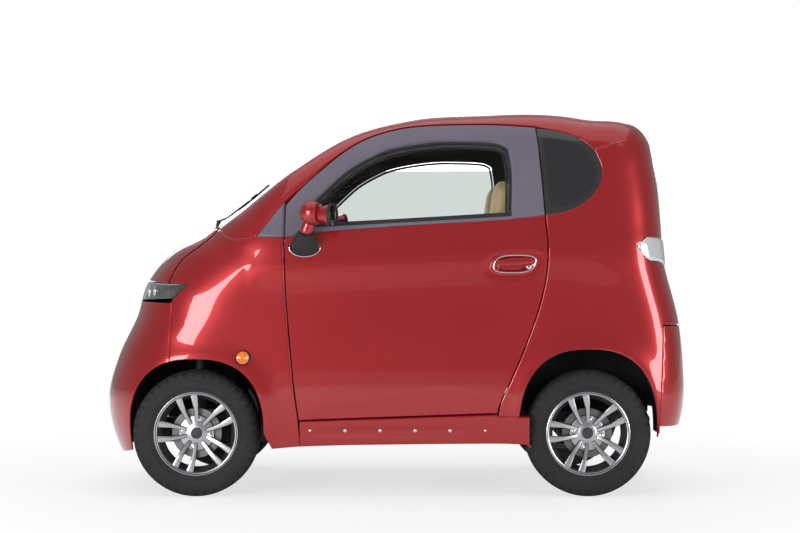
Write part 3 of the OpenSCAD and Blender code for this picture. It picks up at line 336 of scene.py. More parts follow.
def pressed(loops, thick, flat=False, step=(0.7, 1.3), depth=0.0, roll=1.2, gap=8.0, relief=None):
    """Points and faces of a sheet of the skin: outside, inside and rim, with its outer edge rolled in."""
    scale = np.array([1, 1]) if flat else np.array([18, 10])
    points, edges, rims, low = [], [], [], 0
    for number, loop in enumerate(loops):
        loop = np.asarray(loop, float)
        after = np.roll(loop, -1, 0)
        length = np.linalg.norm(lay(after, flat, 0) - lay(loop, flat, 0), axis=1)
        ring = np.concatenate([a + (b - a) * np.linspace(0, 1, max(1, int(round(l / gap))), endpoint=False)[:, None]
                               for a, b, l in zip(loop, after, length)])
        tangent = np.roll(ring, -1, 0) - np.roll(ring, 1, 0)
        area = np.sum(ring[:, 0] * np.roll(ring[:, 1], -1) - ring[:, 1] * np.roll(ring[:, 0], -1))
        turned = (1 if area > 0 else -1) * (1 if number == 0 else -1)
        across = np.stack([-tangent[:, 1], tangent[:, 0]], -1) * turned
        e = 0.02 if not flat else 1.0
        du = (lay(ring + [e, 0], flat, 0) - lay(ring - [e, 0], flat, 0)) / (2 * e)
        dv = (lay(ring + [0, e], flat, 0) - lay(ring - [0, e], flat, 0)) / (2 * e)
        guu, guv, gvv = (du * du).sum(1), (du * dv).sum(1), (dv * dv).sum(1)
        det = np.maximum(guu * gvv - guv**2, 1e-9)
        way = np.stack([(gvv * across[:, 0] - guv * across[:, 1]) / det,
                        (guu * across[:, 1] - guv * across[:, 0]) / det], -1)
        span = np.sqrt(np.maximum(guu * way[:, 0]**2 + 2 * guv * way[:, 0] * way[:, 1] + gvv * way[:, 1]**2, 1e-12))
        inner = ring + way * (1.8 / span)[:, None]
        n = len(ring)
        rims.append(ring)
        points += [ring, inner]
        edges += [(low + k, low + (k + 1) % n) for k in range(n)]
        edges += [(low + n + k, low + n + (k + 1) % n) for k in range(n)] if roll else []
        low += 2 * n
    lowest, highest = rims[0].min(0), rims[0].max(0)
    grid = np.stack(np.meshgrid(np.arange(lowest[0], highest[0], step[0]), np.arange(lowest[1], highest[1], step[1])),
                    -1).reshape(-1, 2)
    grid = grid[inside(grid, rims)]
    edge_points = lay(np.concatenate(points), flat, 0)
    near = KDTree(len(edge_points))
    for k, p in enumerate(edge_points):
        near.insert(p, k)
    near.balance()
    spaced = [near.find(p)[2] > gap * 0.55 for p in lay(grid, flat, 0)] if len(grid) else []
    rim_count = [len(r) for r in rims]
    flat_points = np.concatenate(points + ([grid[spaced]] if len(grid) else []))
    is_rim = np.zeros(len(flat_points), bool)
    start = 0
    for n in rim_count:
        is_rim[start:start + n] = True
        start += 2 * n
    out = delaunay_2d_cdt([Vector(p * scale) for p in flat_points], edges, [], 0, 1e-4, True)
    uv = np.array([list(v) for v in out[0]]) / scale
    rim = np.array([any(is_rim[k] for k in source) for source in out[3]])
    tris = np.array([f for f in out[2] if len(f) == 3])
    tris = tris[inside(uv[tris].mean(1), rims)]
    sunk = relief(uv) if relief else 0.0
    top = lay(uv, flat, depth + sunk + rim * roll)
    under = lay(uv, flat, depth + thick + (np.maximum(sunk, 0) if relief else 0.0))
    a, b, c = top[tris[:, 0]], top[tris[:, 1]], top[tris[:, 2]]
    if (np.cross(b - a, c - a) * (a - under[tris[:, 0]])).sum() < 0:
        tris = tris[:, ::-1]
    directed = {(t[i], t[(i + 1) % 3]) for t in tris.tolist() for i in range(3)}
    n = len(uv)
    outside = tris.tolist()
    lining = (tris[:, ::-1] + n).tolist()
    wall = [[b, a, a + n, b + n] for a, b in directed if (b, a) not in directed]
    wall.sort()
    marks = [0] * len(outside) + [1] * len(lining) + [0] * len(wall)
    return np.concatenate([top, under]), outside + lining + wall, marks


def mirrored(verts, faces):
    return verts * np.array([1, -1, 1]), [list(reversed(f)) for f in faces]


def both_sides(verts, faces, marks):
    """The near side's mesh with its mirror image."""
    other, turned = mirrored(verts, faces)
    return np.concatenate([verts, other]), faces + [[i + len(verts) for i in f] for f in turned], marks * 2


# ---- Painted shell: red metallic lacquer
# Steel and plastic panels sprayed in one deep metallic red under thick clear lacquer. Fine flakes
# sparkle in the colour, and the lacquer has the faint orange peel of a sprayed coat.
def finish(name, **fixed):
    """A material with one Principled shader, and a wire to build its varying inputs from."""
    made = bpy.data.materials.new(name)
    made.use_nodes = True
    made.node_tree.nodes.clear()
    wire = Wire(made.node_tree)
    shader = wire.node("ShaderNodeBsdfPrincipled", **fixed)
    wire.node("ShaderNodeOutputMaterial", Surface=shader)
    return made, wire


def noise(wire, scale, detail=2.0, rough=0.5, out=0):
    spot = wire.node("ShaderNodeTexCoord", out=3)
    return wire.node("ShaderNodeTexNoise", out=out, Vector=spot, Scale=scale, Detail=detail, Roughness=rough)


red_paint, w = finish("red_metallic_lacquer", Coat_Weight=1.0, Coat_Roughness=0.025, Coat_IOR=1.5, IOR=1.5)
flakes = noise(w, 900, 1.0)
flakes.step(0.35, 0.75).blend((0.30, 0.004, 0.008), (0.46, 0.012, 0.016)).into("Base Color")
(0.42 + flakes * 0.16).into("Metallic")
(0.30 + noise(w, 3.0) * 0.08).into("Roughness")
(noise(w, 260, 2.0) * 0.5 + flakes * 0.5).bump(0.045, 0.0006).into("Normal")
lining_black, w = finish("black_panel_lining", Specular_IOR_Level=0.3)
noise(w, 40).step(0.3, 0.8).blend((0.015, 0.015, 0.017), (0.03, 0.03, 0.034)).into("Base Color")
(0.6 + noise(w, 200) * 0.2).into("Roughness")
noise(w, 600).bump(0.2, 0.0004).into("Normal")


# ---- Front bumper
# One moulded skirt from arch to arch, stepped up between the headlamps to the hood's front edge and
# rolled under at the bottom. It meets each wing at a straight upright joint.
SEAM, GAP = 0.8, 6.0
LAMP_TURN, LAMP_UNDER, HOOD_FRONT, HOOD_REAR = 66, 178.4, 173.8, 158
SEAM_X = FRONT - 100
ARCH_FROM = 180 - math.degrees(math.acos((100 / 274) ** 1.25))


def over_car(near):
    """A near-side line of [direction, turn] on the far side, turned round so that it closes a loop."""
    return np.stack([near[::-1, 0], 180 - near[::-1, 1]], -1)


def line_across(start, end, middle, n=40, power=3):
    """Line over the car's centre from turn start to turn end, its direction easing to middle."""
    t = np.linspace(0, 1, n + 1)
    return np.stack([middle + (start[0] - middle) * np.abs(2 * t - 1) ** power, start[1] + (end[1] - start[1]) * t], -1)


near = joined(straight([[FRONT - 274 - SEAM, 176], [FRONT - 274 - SEAM, TYRE]]),
              arch_line(FRONT_ARCH, 180, ARCH_FROM, 24) - [SEAM, 0],
              straight([arch_line(FRONT_ARCH, ARCH_FROM, ARCH_FROM, 1)[0] - [SEAM, 0], [SEAM_X - SEAM, 640],
                        [SEAM_X - SEAM, 784]]))
near = on_side(near)
turns = np.linspace(near[-1, 1], 180 - near[-1, 1], 121)
rise = np.clip((np.minimum(turns, 180 - turns) - LAMP_TURN) / 5, 0, 1)
top = np.stack([LAMP_UNDER + (HOOD_FRONT + 0.4 - LAMP_UNDER) * rise**2 * (3 - 2 * rise), turns], -1)
top[0], top[-1] = near[-1], over_car(near)[0]
skirt = line_across(over_car(near)[-1], near[0], 207)
verts, faces, marks = pressed([joined(near, top, over_car(near), skirt)], 6, step=(0.75, 1.4))
add_piece("front_bumper_skirt", verts, faces, "car_body", [red_paint, lining_black], ["front_bumper"], marks)


# ---- Front wings
# Pressed wings from the bumper joint over the arch to the door, with a notch for the headlamp and
# their top edge following the hood and the foot of the windscreen pillar.
DOOR_FRONT = [[FRONT + 414, 310], [FRONT + 398, 430], [FRONT + 382, 590], [FRONT + 366, 790], [FRONT + 358, 950],
              [FRONT + 358, 1042]]
HOOD_LINE = [[FRONT - 124, 858], [FRONT - 80, 945], [FRONT + 2, 1013], [FRONT + 48, 1052], [FRONT + 70, 1078]]
PILLAR_FOOT = [[FRONT + 76, 1080], [FRONT + 146, 1034], [FRONT + 240, 1044]]
LAMP_TIP, LAMP_HEEL, LAMP_LOW = [FRONT - 32, 854], [SEAM_X + 14, 806], [SEAM_X, 792]
low = joined(arch_line(FRONT_ARCH, ARCH_FROM, 0, 40),
             straight([[FRONT + 274, TYRE], [FRONT + 306, 194], [FRONT + 416, 203]]))
right = joined(straight([[FRONT + 416, 203], [FRONT + 408, 310]]), arc(np.array(DOOR_FRONT) - [GAP, 0], 40))
pillar = arc(PILLAR_FOOT, 24)
wing_top = arc(np.array(HOOD_LINE) + [5.5, -4], 30)
top = joined(wing_top, pillar[1:] - [0, SEAM], straight([pillar[-1] - [0, SEAM], [FRONT + 352, 1042]]))
left = straight([low[0], LAMP_LOW, LAMP_HEEL, LAMP_TIP, [FRONT - 118, 858]])
wing = on_side(joined(low, right, top[::-1], left[::-1]))
sheet = both_sides(*pressed([wing], 6, step=(0.6, 1.2)))
add_piece("front_wings", sheet[0], sheet[1], "car_body", [red_paint, lining_black], ["fenders"], sheet[2])


# ---- Hood
# Short pressed lid that hinges in front of the windscreen and closes between the headlamps.
side = on_side(arc(HOOD_LINE, 30))
t = np.linspace(0, 1, 61)
front = np.stack([HOOD_FRONT + (side[0, 0] - HOOD_FRONT) * np.abs(2 * t - 1) ** 2,
                  side[0, 1] + (180 - 2 * side[0, 1]) * t], -1)
back = np.stack([HOOD_REAR + (side[-1, 0] - HOOD_REAR) * np.abs(2 * t - 1) ** 2,
                 side[-1, 1] + (180 - 2 * side[-1, 1]) * t], -1)
verts, faces, marks = pressed([joined(front, over_car(side)[::-1], back[::-1], side[::-1])], 14, step=(0.6, 1.3))
add_piece("hood_lid", verts, faces, "hood", [red_paint, lining_black], ["hood"], marks)


# ---- Roof with the windscreen pillars
# One pressing that runs from the foot of one windscreen pillar over the car to the other, with the
# headliner bonded under it, down to the rear edge over the tailgate.
WINDOW_Q = {"front": [[REAR - 168, 1134], [REAR - 182, 1314], [REAR - 200, 1484]],
            "top": [[REAR - 200, 1484], [REAR - 110, 1472], [REAR - 30, 1443], [REAR + 30, 1396]],
            "rear": [[REAR + 16, 1205], [REAR + 50, 1256], [REAR + 58, 1325], [REAR + 30, 1396]],
            "low": [[REAR - 168, 1134], [REAR - 110, 1140], [REAR - 40, 1165], [REAR + 16, 1205]]}
FRAME_TOP = [[FRONT + 361, 1170], [FRONT + 416, 1232], [FRONT + 495, 1305], [FRONT + 595, 1387], [FRONT + 696, 1445],
             [FRONT + 818, 1482], [FRONT + 940, 1495], [FRONT + 1102, 1499], [REAR - 348, 1497], [REAR - 206, 1487]]
TAIL_TURN, GATE_LOW, GATE_HIGH, ROOF_REAR = 58, -3, 32.4, 33
rim = np.array([[x - 4, z + 5] if k < 4 else [x, z + GAP] for k, (x, z) in enumerate(FRAME_TOP)])
over_window = np.array(WINDOW_Q["top"], float) + [[0, GAP], [0, SEAM], [0, SEAM], [0, SEAM]]
side = joined(straight([PILLAR_FOOT[2], [FRONT + 352, 1184]]), arc(rim[1:], 60), arc(over_window, 24))
side = on_side(side)
seam_deg = SEAM / 18
corner = np.array([GATE_HIGH + seam_deg, TAIL_TURN])
across = straight([side[-1], corner])
t = np.linspace(0, 1, 25)
rear = np.stack([corner[0] + (ROOF_REAR - corner[0]) * np.sin(t * math.pi / 2), TAIL_TURN + (90 - TAIL_TURN) * t], -1)
foot = on_side(arc(PILLAR_FOOT, 24))
screen_corner = foot[0]
t = np.linspace(0, 1, 41)[:, None]
screen_side = screen_corner + (np.array([111, 50]) - screen_corner) * t
screen_top = np.stack([np.full(41, 111.0), np.linspace(50, 90, 41)], -1)
outer = joined(foot, side, across, rear)
hole = joined(screen_side, screen_top)
whole = joined(outer, over_car(outer), over_car(hole), hole[::-1])
verts, faces, marks = pressed([whole], 24, step=(0.8, 1.3))
headliner, w = finish("pale_headliner", Sheen_Weight=0.3)
noise(w, 900).step(0.2, 0.8).blend((0.62, 0.60, 0.55), (0.72, 0.70, 0.65)).into("Base Color")
(0.85 + noise(w, 50) * 0.1).into("Roughness")
noise(w, 1200).bump(0.4, 0.0006).into("Normal")
add_piece("roof_and_pillars", verts, faces, "car_body", [red_paint, headliner], ["roof"], marks)


# ---- Rear quarters
# Pressed quarters from the door over the arch and round the corner to the tailgate. The quarter
# window lies in their upper front.
DOOR_REAR = [[REAR - 366, 338], [REAR - 354, 382], [REAR - 314, 470], [REAR - 254, 610], [REAR - 210, 730],
             [REAR - 178, 850],
             [REAR - 166, 942], [REAR - 166, 1030], [REAR - 174, 1130]]
QUARTER_FOOT = [REAR - 360, 326]
BUMPER_EDGE = [[REAR + 283, 285], [REAR + 289, 450], [REAR + 300, 686]]
low = joined(straight([QUARTER_FOOT, [REAR - 280, 323]]), arch_line(REAR_ARCH, 168, 0, 48), [[REAR + 280, 240]])
left = arc([QUARTER_FOOT] + [[x + GAP, z] for x, z in DOOR_REAR[1:]], 48)
edge = straight([[REAR + 280, 240], [REAR + 288.2, 450], [REAR + 299.2, 692]])
window = joined(arc(np.array(WINDOW_Q["low"]) - [0, SEAM], 24), arc(np.array(WINDOW_Q["rear"]) + [SEAM, 0], 24))
above = straight([on_side([WINDOW_Q["rear"][3]])[0] + [0, 0], [GATE_HIGH, TAIL_TURN]])
tail = straight([[GATE_LOW, TAIL_TURN], [GATE_HIGH, TAIL_TURN]], 30)
corner_low = straight([on_side(edge[-1:])[0], [GATE_LOW, TAIL_TURN]])
loop = joined(on_side(low), on_side(edge), corner_low, tail, above[::-1], on_side(window)[::-1], on_side(left)[::-1])
sheet = both_sides(*pressed([loop], 8, step=(0.6, 1.2)))
add_piece("rear_quarters", sheet[0], sheet[1], "car_body", [red_paint, lining_black], ["quarter_panels"], sheet[2])


# ---- Rear bumper
# Moulded bumper under the tailgate, from arch to arch, with a rolled lower edge.
near = on_side(straight(BUMPER_EDGE))
top = line_across(near[-1], over_car(near)[0], GATE_LOW - 0.35)
skirt = line_across(over_car(near)[-1], near[0], -21.5)
verts, faces, marks = pressed([joined(near, top, over_car(near), skirt)], 6, step=(0.6, 1.2))
add_piece("rear_bumper_skirt", verts, faces, "car_body", [red_paint, lining_black], ["rear_bumper"], marks)


# ---- Tailgate and its glass
# Pressed lid round a bonded rear pane. The pane has a black printed border, which hides the bonding.
def window_loop(low, high, turn, n=30):
    return joined(straight([[low, turn], [high, turn]], n), straight([[high, turn], [high, 180 - turn]], n),
                  straight([[high, 180 - turn], [low, 180 - turn]], n), straight([[low, 180 - turn], [low, turn]], n))


def rounded(loop, share=0.16, power=4):
    """The loop of a window with its corners rounded."""
    middle = (loop.min(0) + loop.max(0)) / 2
    half = (loop.max(0) - loop.min(0)) / 2
    p = (loop - middle) / half
    size = (np.abs(p) ** (2 / share) ).sum(1) ** (share / 2)
    return middle + p / size[:, None] * half


gate = window_loop(GATE_LOW + 0.2, GATE_HIGH - 0.3, TAIL_TURN + 0.4)
pane = rounded(window_loop(12, 29.5, 64))
verts, faces, marks = pressed([gate, pane], 20, step=(0.6, 1.2))
add_piece("tailgate_lid", verts, faces, "tailgate", [red_paint, lining_black], ["tailgate"], marks)

clear_glass, w = finish("clear_window_glass", Base_Color=(0.93, 0.97, 0.95), Transmission_Weight=1.0, IOR=1.05,
                        Specular_IOR_Level=0.8)
(0.01 + noise(w, 5) * 0.01).into("Roughness")
black_frit, w = finish("black_printed_border", Coat_Weight=1.0, Coat_Roughness=0.02)
noise(w, 60).blend((0.012, 0.012, 0.014), (0.02, 0.02, 0.022)).into("Base Color")
(0.3 + noise(w, 8) * 0.1).into("Roughness")
rubber, w = finish("black_weather_rubber", Specular_IOR_Level=0.35)
noise(w, 90).blend((0.010, 0.010, 0.011), (0.022, 0.022, 0.024)).into("Base Color")
(0.55 + noise(w, 300) * 0.2).into("Roughness")
noise(w, 900).bump(0.15, 0.0003).into("Normal")


def shrunk(loop, by):
    middle = (loop.min(0) + loop.max(0)) / 2
    half = (loop.max(0) - loop.min(0)) / 2
    return middle + (loop - middle) * (1 - np.array(by) / half)


pane_rim = shrunk(pane, [0.15, 0.3])
verts, faces, marks = pressed([pane_rim], 5, depth=3, roll=0, step=(0.9, 1.8))
add_piece("rear_pane", verts, faces, "tailgate", [clear_glass, clear_glass], ["rear_glass"], marks)
verts, faces, marks = pressed([pane_rim, shrunk(pane, [1.9, 3.0])], 0.4, depth=2.6, roll=0, step=(0.9, 1.8))
add_piece("rear_pane_border", verts, faces, "tailgate", [black_frit, black_frit], (), marks)


# ---- Sills
# Moulded sill covers under the doors, pushed on along their top edge and screwed along the bottom.
low = arc([[FRONT + 416.8, 203], [-100, 210], [REAR - 290, 214], [REAR - 237, 196]], 30)
top = straight([[FRONT + 416.8, 304], [QUARTER_FOOT[0] - 9, 331], [QUARTER_FOOT[0], 326 - SEAM],
                [REAR - 237, 323 - SEAM]])
loop = joined(low, straight([low[-1], top[-1]]), top[::-1], straight([top[0], low[0]]))


def sill_groove(p):
    """Long shallow dish along the sill, with soft ends."""
    middle = 262 + (p[:, 0] + 100) * 0.012
    d = np.abs(p[:, 1] - middle) / 26
    ends = np.clip((p[:, 0] + 330) / 70, 0, 1) * np.clip((300 - p[:, 0]) / 70, 0, 1)
    return 4.0 * np.clip(1.3 - d, 0, 1) ** 2 * ends


sheet = both_sides(*pressed([loop], 20, flat=True, step=(8, 6), relief=sill_groove))
add_piece("sill_covers", sheet[0], sheet[1], "car_body", [red_paint, lining_black], ["sills"], sheet[2])


# ---- Windscreen and its scuttle
# A curved bonded pane with a black printed border, and under it a moulded black plastic scuttle with
# air slots that carries the wiper's spindle.
SCREEN_LOW, SCREEN_HIGH = 153, 111
t = np.linspace(0, 1, 41)
edge = screen_corner + (np.array([SCREEN_HIGH, 50]) - screen_corner) * t[:, None] + [0, 0.08]
u = np.linspace(-1, 1, 61)
low = np.stack([SCREEN_LOW + 0.1 + (edge[0, 0] - SCREEN_LOW - 0.1) * u**2, 90 + (90 - edge[0, 1]) * u], -1)
high = np.stack([np.full(61, SCREEN_HIGH + 0.08), 90 + (90 - edge[-1, 1]) * u], -1)
screen = joined(low, over_car(edge)[::-1], high[::-1], edge[::-1])
verts, faces, marks = pressed([screen], 5, depth=0.4, roll=0, step=(1.4, 2.4))
add_piece("windscreen_pane", verts, faces, "car_body", [clear_glass, clear_glass], ["windscreen"], marks)
verts, faces, marks = pressed([screen, rounded(shrunk(screen, [3.2, 4.2]), share=0.2)], 0.4, depth=0.1, roll=0,
                              step=(1.2, 2.0))
add_piece("windscreen_border", verts, faces, "car_body", [black_frit, black_frit], (), marks)

black_plastic, w = finish("black_grained_plastic", Specular_IOR_Level=0.4)
noise(w, 30).blend((0.012, 0.012, 0.013), (0.024, 0.024, 0.026)).into("Base Color")
(0.45 + noise(w, 150) * 0.2).into("Roughness")
noise(w, 700, 3.0).bump(0.25, 0.0005).into("Normal")
start = screen_corner[1] + 4
turns = np.linspace(start, 180 - start, 61)
off = np.abs(turns - 90)
corner = on_side([HOOD_LINE[4]])[0]
front = np.stack([HOOD_REAR + (corner[0] - HOOD_REAR) * (off / (90 - corner[1])) ** 2 - 0.45, turns], -1)
back = np.stack([SCREEN_LOW + (screen_corner[0] - SCREEN_LOW) * (off / (90 - screen_corner[1])) ** 2 + 2 * seam_deg,
                 turns], -1)
scuttle_loop = joined(front, straight([front[-1], back[-1]], 3), back[::-1], straight([back[0], front[0]], 3))


def scuttle_ribs(uv):
    """Air slots between ribs, in two fields beside the middle."""
    wave = np.sin(uv[:, 1] * 2 * math.pi / 1.5)
    open_part = (np.abs(uv[:, 1] - 90) < 26) & (np.abs(uv[:, 1] - 90) > 3) & (uv[:, 0] < 156.6) & (uv[:, 0] > 154)
    return np.where(open_part & (wave > 0), 3.0, 0.0)


verts, faces, marks = pressed([scuttle_loop], 5, depth=4, step=(0.35, 0.37), gap=5, relief=scuttle_ribs)
add_piece("scuttle_grille", verts, faces, "car_body", [black_plastic, black_plastic], ["cowl"], marks)


def turned(profile, centre, axis=(0, 0, 1), n=48, closed=False):
    """Points and faces of a line of [radius, height] turned about an axis, its ends capped unless closed."""
    a = np.asarray(axis, float) / np.linalg.norm(axis)
    u = np.cross(a, [0, 0, 1.0] if abs(a[2]) < 0.9 else [1.0, 0, 0])
    u /= np.linalg.norm(u)
    v = np.cross(a, u)
    phi = np.linspace(0, 2 * math.pi, n, endpoint=False)
    ray = np.cos(phi)[:, None] * u + np.sin(phi)[:, None] * v
    p = np.asarray(profile, float)
    verts = (np.asarray(centre, float) + p[:, None, :1] * ray[None] + p[:, None, 1:] * a).reshape(-1, 3)
    m = len(p)
    faces = [[i % m * n + j, i % m * n + (j + 1) % n, (i + 1) % m * n + (j + 1) % n, (i + 1) % m * n + j]
             for i in range(m if closed else m - 1) for j in range(n)]
    if not closed:
        faces += [[j for j in range(n)][::-1], [(m - 1) * n + j for j in range(n)]]
    return verts, faces


def swept(path, profile, up=(0, 0, 1), sizes=None, closed=False):
    """Points and faces of a closed profile carried along a path and scaled at each station."""
    path = np.asarray(path, float)
    n, m = len(path), len(profile)
    ahead = np.roll(path, -1, 0) - np.roll(path, 1, 0) if closed else np.gradient(path, axis=0)
    ahead /= np.linalg.norm(ahead, axis=1)[:, None]
    side = np.cross(ahead, np.broadcast_to(np.asarray(up, float), ahead.shape))
    side /= np.linalg.norm(side, axis=1)[:, None]
    top = np.cross(side, ahead)
    p = np.asarray(profile, float)[None] * (np.ones((n, 1, 2))
                                            if sizes is None else np.reshape(sizes, (n, 1, -1)) * np.ones((1, 1, 2)))
    verts = (path[:, None] + side[:, None] * p[..., :1] + top[:, None] * p[..., 1:]).reshape(-1, 3)
    faces = [[i * m + j, (i + 1) % n * m + j, (i + 1) % n * m + (j + 1) % m, i * m + (j + 1) % m]
             for i in range(n if closed else n - 1) for j in range(m)]
    if not closed:
        faces += [list(range(m)), [(n - 1) * m + j for j in range(m)][::-1]]
    return verts, faces


def oblong(wide, high, n=24, power=4):
    """Rounded rectangle as a closed profile."""
    a = np.linspace(0, 2 * math.pi, n, endpoint=False)
    c, s = np.cos(a), np.sin(a)
    r = (np.abs(c) ** power + np.abs(s) ** power) ** (-1 / power)
    return np.stack([c * r * wide / 2, s * r * high / 2], -1)


def together(*parts):
    """Several (points, faces) as one."""
    verts, faces, count = [], [], 0
    for v, f in parts:
        verts.append(v)
        faces += [[i + count for i in face] for face in f]
        count += len(v)
    return np.concatenate(verts), faces


def add_solid(name, part, body, look, stands_for=(), bevel=0.0, sharp=38):
    """A piece from closed shells, with its faces turned outwards and its edges softened."""
    thing = add_piece(name, part[0], part[1], body, look, stands_for, sharp=sharp)
    work = bmesh.new()
    work.from_mesh(thing.data)
    bmesh.ops.recalc_face_normals(work, faces=work.faces)
    work.to_mesh(thing.data)
    work.free()
    if bevel:
        soft = thing.modifiers.new("soft_edges", "BEVEL")
        soft.width, soft.segments, soft.limit_method, soft.angle_limit = bevel / 1000, 2, "ANGLE", math.radians(40)
    return thing


foot = skin(HOOD_REAR - 2.2, 76, 2)
knee = skin(HOOD_REAR - 5.5, 76, -7)
tip = skin(137, 62, -5)
rest = knee + (tip - knee) * 0.52
spindle = turned([[0.1, 24], [7, 24], [9, 20], [9.5, 8], [12, 4], [12, -6], [0.1, -6]], foot, n=32)
arm = swept(np.linspace(foot + [0, 0, 19], knee, 6), oblong(16, 7), sizes=np.linspace(1, 0.8, 6))
hook = swept(np.linspace(knee, rest, 8), oblong(8, 5), sizes=np.linspace(1, 0.75, 8))
add_solid("wiper_arm", together(spindle, arm, hook), "car_body", black_plastic, bevel=0.4)
line = np.array([skin(149 - 12.0 * k / 12, 70 - 8.0 * k / 12, -2.5) for k in range(13)])
blade = swept(line, oblong(3, 9), sizes=[[1, 0.7 + 0.3 * math.sin(math.pi * k / 12)] for k in range(13)])
spine = swept(line + [0, 0, 5], oblong(7, 3))
clip = swept(np.linspace(line[5] + [0, 0, 7], line[7] + [0, 0, 7], 3), oblong(11, 7))
add_solid("wiper_blade", together(blade, spine, clip), "car_body", rubber)


# ---- Corner trims
# Satin grey plastic triangles that fill the corner between pillar, wing and door.
trim_grey, w = finish("satin_grey_trim", Specular_IOR_Level=0.5)
noise(w, 4).blend((0.105, 0.092, 0.125), (0.135, 0.118, 0.155)).into("Base Color")
(0.36 + noise(w, 60) * 0.1).into("Roughness")
noise(w, 900, 2.0).bump(0.08, 0.0003).into("Normal")
a, b, c = [FRONT + 242, 1044.2], [FRONT + 352, 1043], [FRONT + 352, 1182.5]
sheet = both_sides(*pressed([straight([a, b, c, a])[:-1]], 14, flat=True, step=(9, 9), gap=6))
add_piece("corner_trims", sheet[0], sheet[1], "car_body", [trim_grey, black_plastic], ["corner_trims"], sheet[2])


# ---- Quarter windows
# Dark tinted panes bonded behind the doors, with a wider black printed border.
tinted, w = finish("dark_tinted_glass", Coat_Weight=1.0, Coat_Roughness=0.01, IOR=1.5)
noise(w, 2).blend((0.010, 0.010, 0.012), (0.022, 0.022, 0.026)).into("Base Color")
(0.08 + noise(w, 6) * 0.04).into("Roughness")
loop = joined(arc(WINDOW_Q["front"], 16), arc(WINDOW_Q["top"], 24), arc(WINDOW_Q["rear"], 24)[::-1],
              arc(WINDOW_Q["low"], 24)[::-1])
sheet = both_sides(*pressed([loop], 5, flat=True, depth=2, roll=0.6, step=(14, 14)))
add_piece("quarter_window_panes", sheet[0], sheet[1], "car_body", [tinted, tinted], ["quarter_glasses"], sheet[2])
inner = loop + (loop.mean(0) - loop) * 0.16
sheet = both_sides(*pressed([loop, inner], 0.4, flat=True, depth=1.6, roll=0, step=(8, 8)))
add_piece("quarter_window_borders", sheet[0], sheet[1], "car_body", [black_frit, black_frit], (), sheet[2])


# ---- Doors: painted skins
# Pressed outer skins with the belt crease, a low pressed wedge along the bottom and a dished recess
# for the handle. A leather-look card lines their inside.
BELT = [[FRONT + 358, 1042], [FRONT + 538, 1066], [FRONT + 818, 1086], [FRONT + 1018, 1100], [REAR - 286, 1118],
        [REAR - 174, 1130]]
HANDLE = np.array([REAR - 297, 934])
tan_card, w = finish("tan_leather_look_card", Specular_IOR_Level=0.4)
noise(w, 9).blend((0.50, 0.33, 0.17), (0.60, 0.42, 0.23)).into("Base Color")
(0.5 + noise(w, 80) * 0.15).into("Roughness")
noise(w, 420, 4.0).bump(0.35, 0.0006).into("Normal")


def oval(at, wide, high, lean=0.35, n=64):
    a = np.linspace(0, 2 * math.pi, n, endpoint=False)
    ring = oblong(2 * wide, 2 * high, n, 3)
    return at + np.stack([ring[:, 0] + lean * ring[:, 1], ring[:, 1]], -1)


def door_press(p):
    """Depth of the door's pressed forms below the skin."""
    line = through([[-360, 330], [230, 418], [420, 366]], p[:, 0])
    wedge = 3.5 / (1 + np.exp(np.clip((p[:, 1] - line) / 7, -30, 30)))
    ends = np.clip((p[:, 0] + 370) / 60, 0, 1) * np.clip((440 - p[:, 0]) / 60, 0, 1)
    q = p - HANDLE
    r = ((np.abs((q[:, 0] - 0.35 * q[:, 1]) / 112) ** 3 + np.abs(q[:, 1] / 58) ** 3)) ** (1 / 3)
    return wedge * ends + 4.0 * np.clip((1.12 - r) / 0.3, 0, 1) ** 2 * (3 - 2 * np.clip((1.12 - r) / 0.3, 0, 1))


door_loop = joined(arc(DOOR_FRONT, 40), arc(BELT, 30) - [0, 0.4], arc(DOOR_REAR, 40)[::-1],
                   straight([DOOR_REAR[0], DOOR_FRONT[0]]))
recess = oval(HANDLE, 80, 33)
press = pressed([door_loop, recess], 40, flat=True, step=(11, 9), relief=door_press)
for body, hand in (("door_left", 1), ("door_right", -1)):
    points, sides = (press[0], press[1]) if hand > 0 else mirrored(press[0], press[1])
    add_piece(body + "_skin", points, sides, body, [red_paint, tan_card], ["door_skin" + body[4:]], press[2])


# ---- Doors: window frames, glass and seals
# Satin grey moulded frames with a raised inner lip, dropping glass in a black rubber channel, and a
# waist seal that wipes the glass along the belt.
FRAME_FRONT = [[FRONT + 358, 1042], [FRONT + 359, 1110], [FRONT + 361, 1170]]
FRAME_REAR = [[REAR - 174, 1130], [REAR - 188, 1314], [REAR - 206, 1487]]
WINDOW = {"front": [[FRONT + 442, 1080], [FRONT + 450, 1140], [FRONT + 475, 1196]],
          "top": [[FRONT + 475, 1196], [FRONT + 595, 1308], [FRONT + 695, 1369], [FRONT + 795, 1407],
                  [FRONT + 963, 1432],
                  [FRONT + 1102, 1433], [REAR - 360, 1425], [REAR - 316, 1404]],
          "rear": [[REAR - 306, 1126], [REAR - 302, 1300], [REAR - 316, 1404]],
          "low": [[FRONT + 442, 1080], [FRONT + 818, 1100], [REAR - 306, 1126]]}
outer = joined(arc(FRAME_FRONT, 8), arc(FRAME_TOP, 60), arc(FRAME_REAR, 12)[::-1], arc(BELT, 30)[::-1] + [0, 1])
window = joined(arc(WINDOW["front"], 10), arc(WINDOW["top"], 50), arc(WINDOW["rear"], 16)[::-1],
                arc(WINDOW["low"], 30)[::-1])


def inward(loop, by):
    """The loop moved to its inside by a distance."""
    along = np.roll(loop, -1, 0) - np.roll(loop, 1, 0)
    along /= np.linalg.norm(along, axis=1)[:, None]
    area = np.sum(loop[:, 0] * np.roll(loop[:, 1], -1) - loop[:, 1] * np.roll(loop[:, 0], -1))
    return loop + np.stack([-along[:, 1], along[:, 0]], -1) * by * (1 if area > 0 else -1)


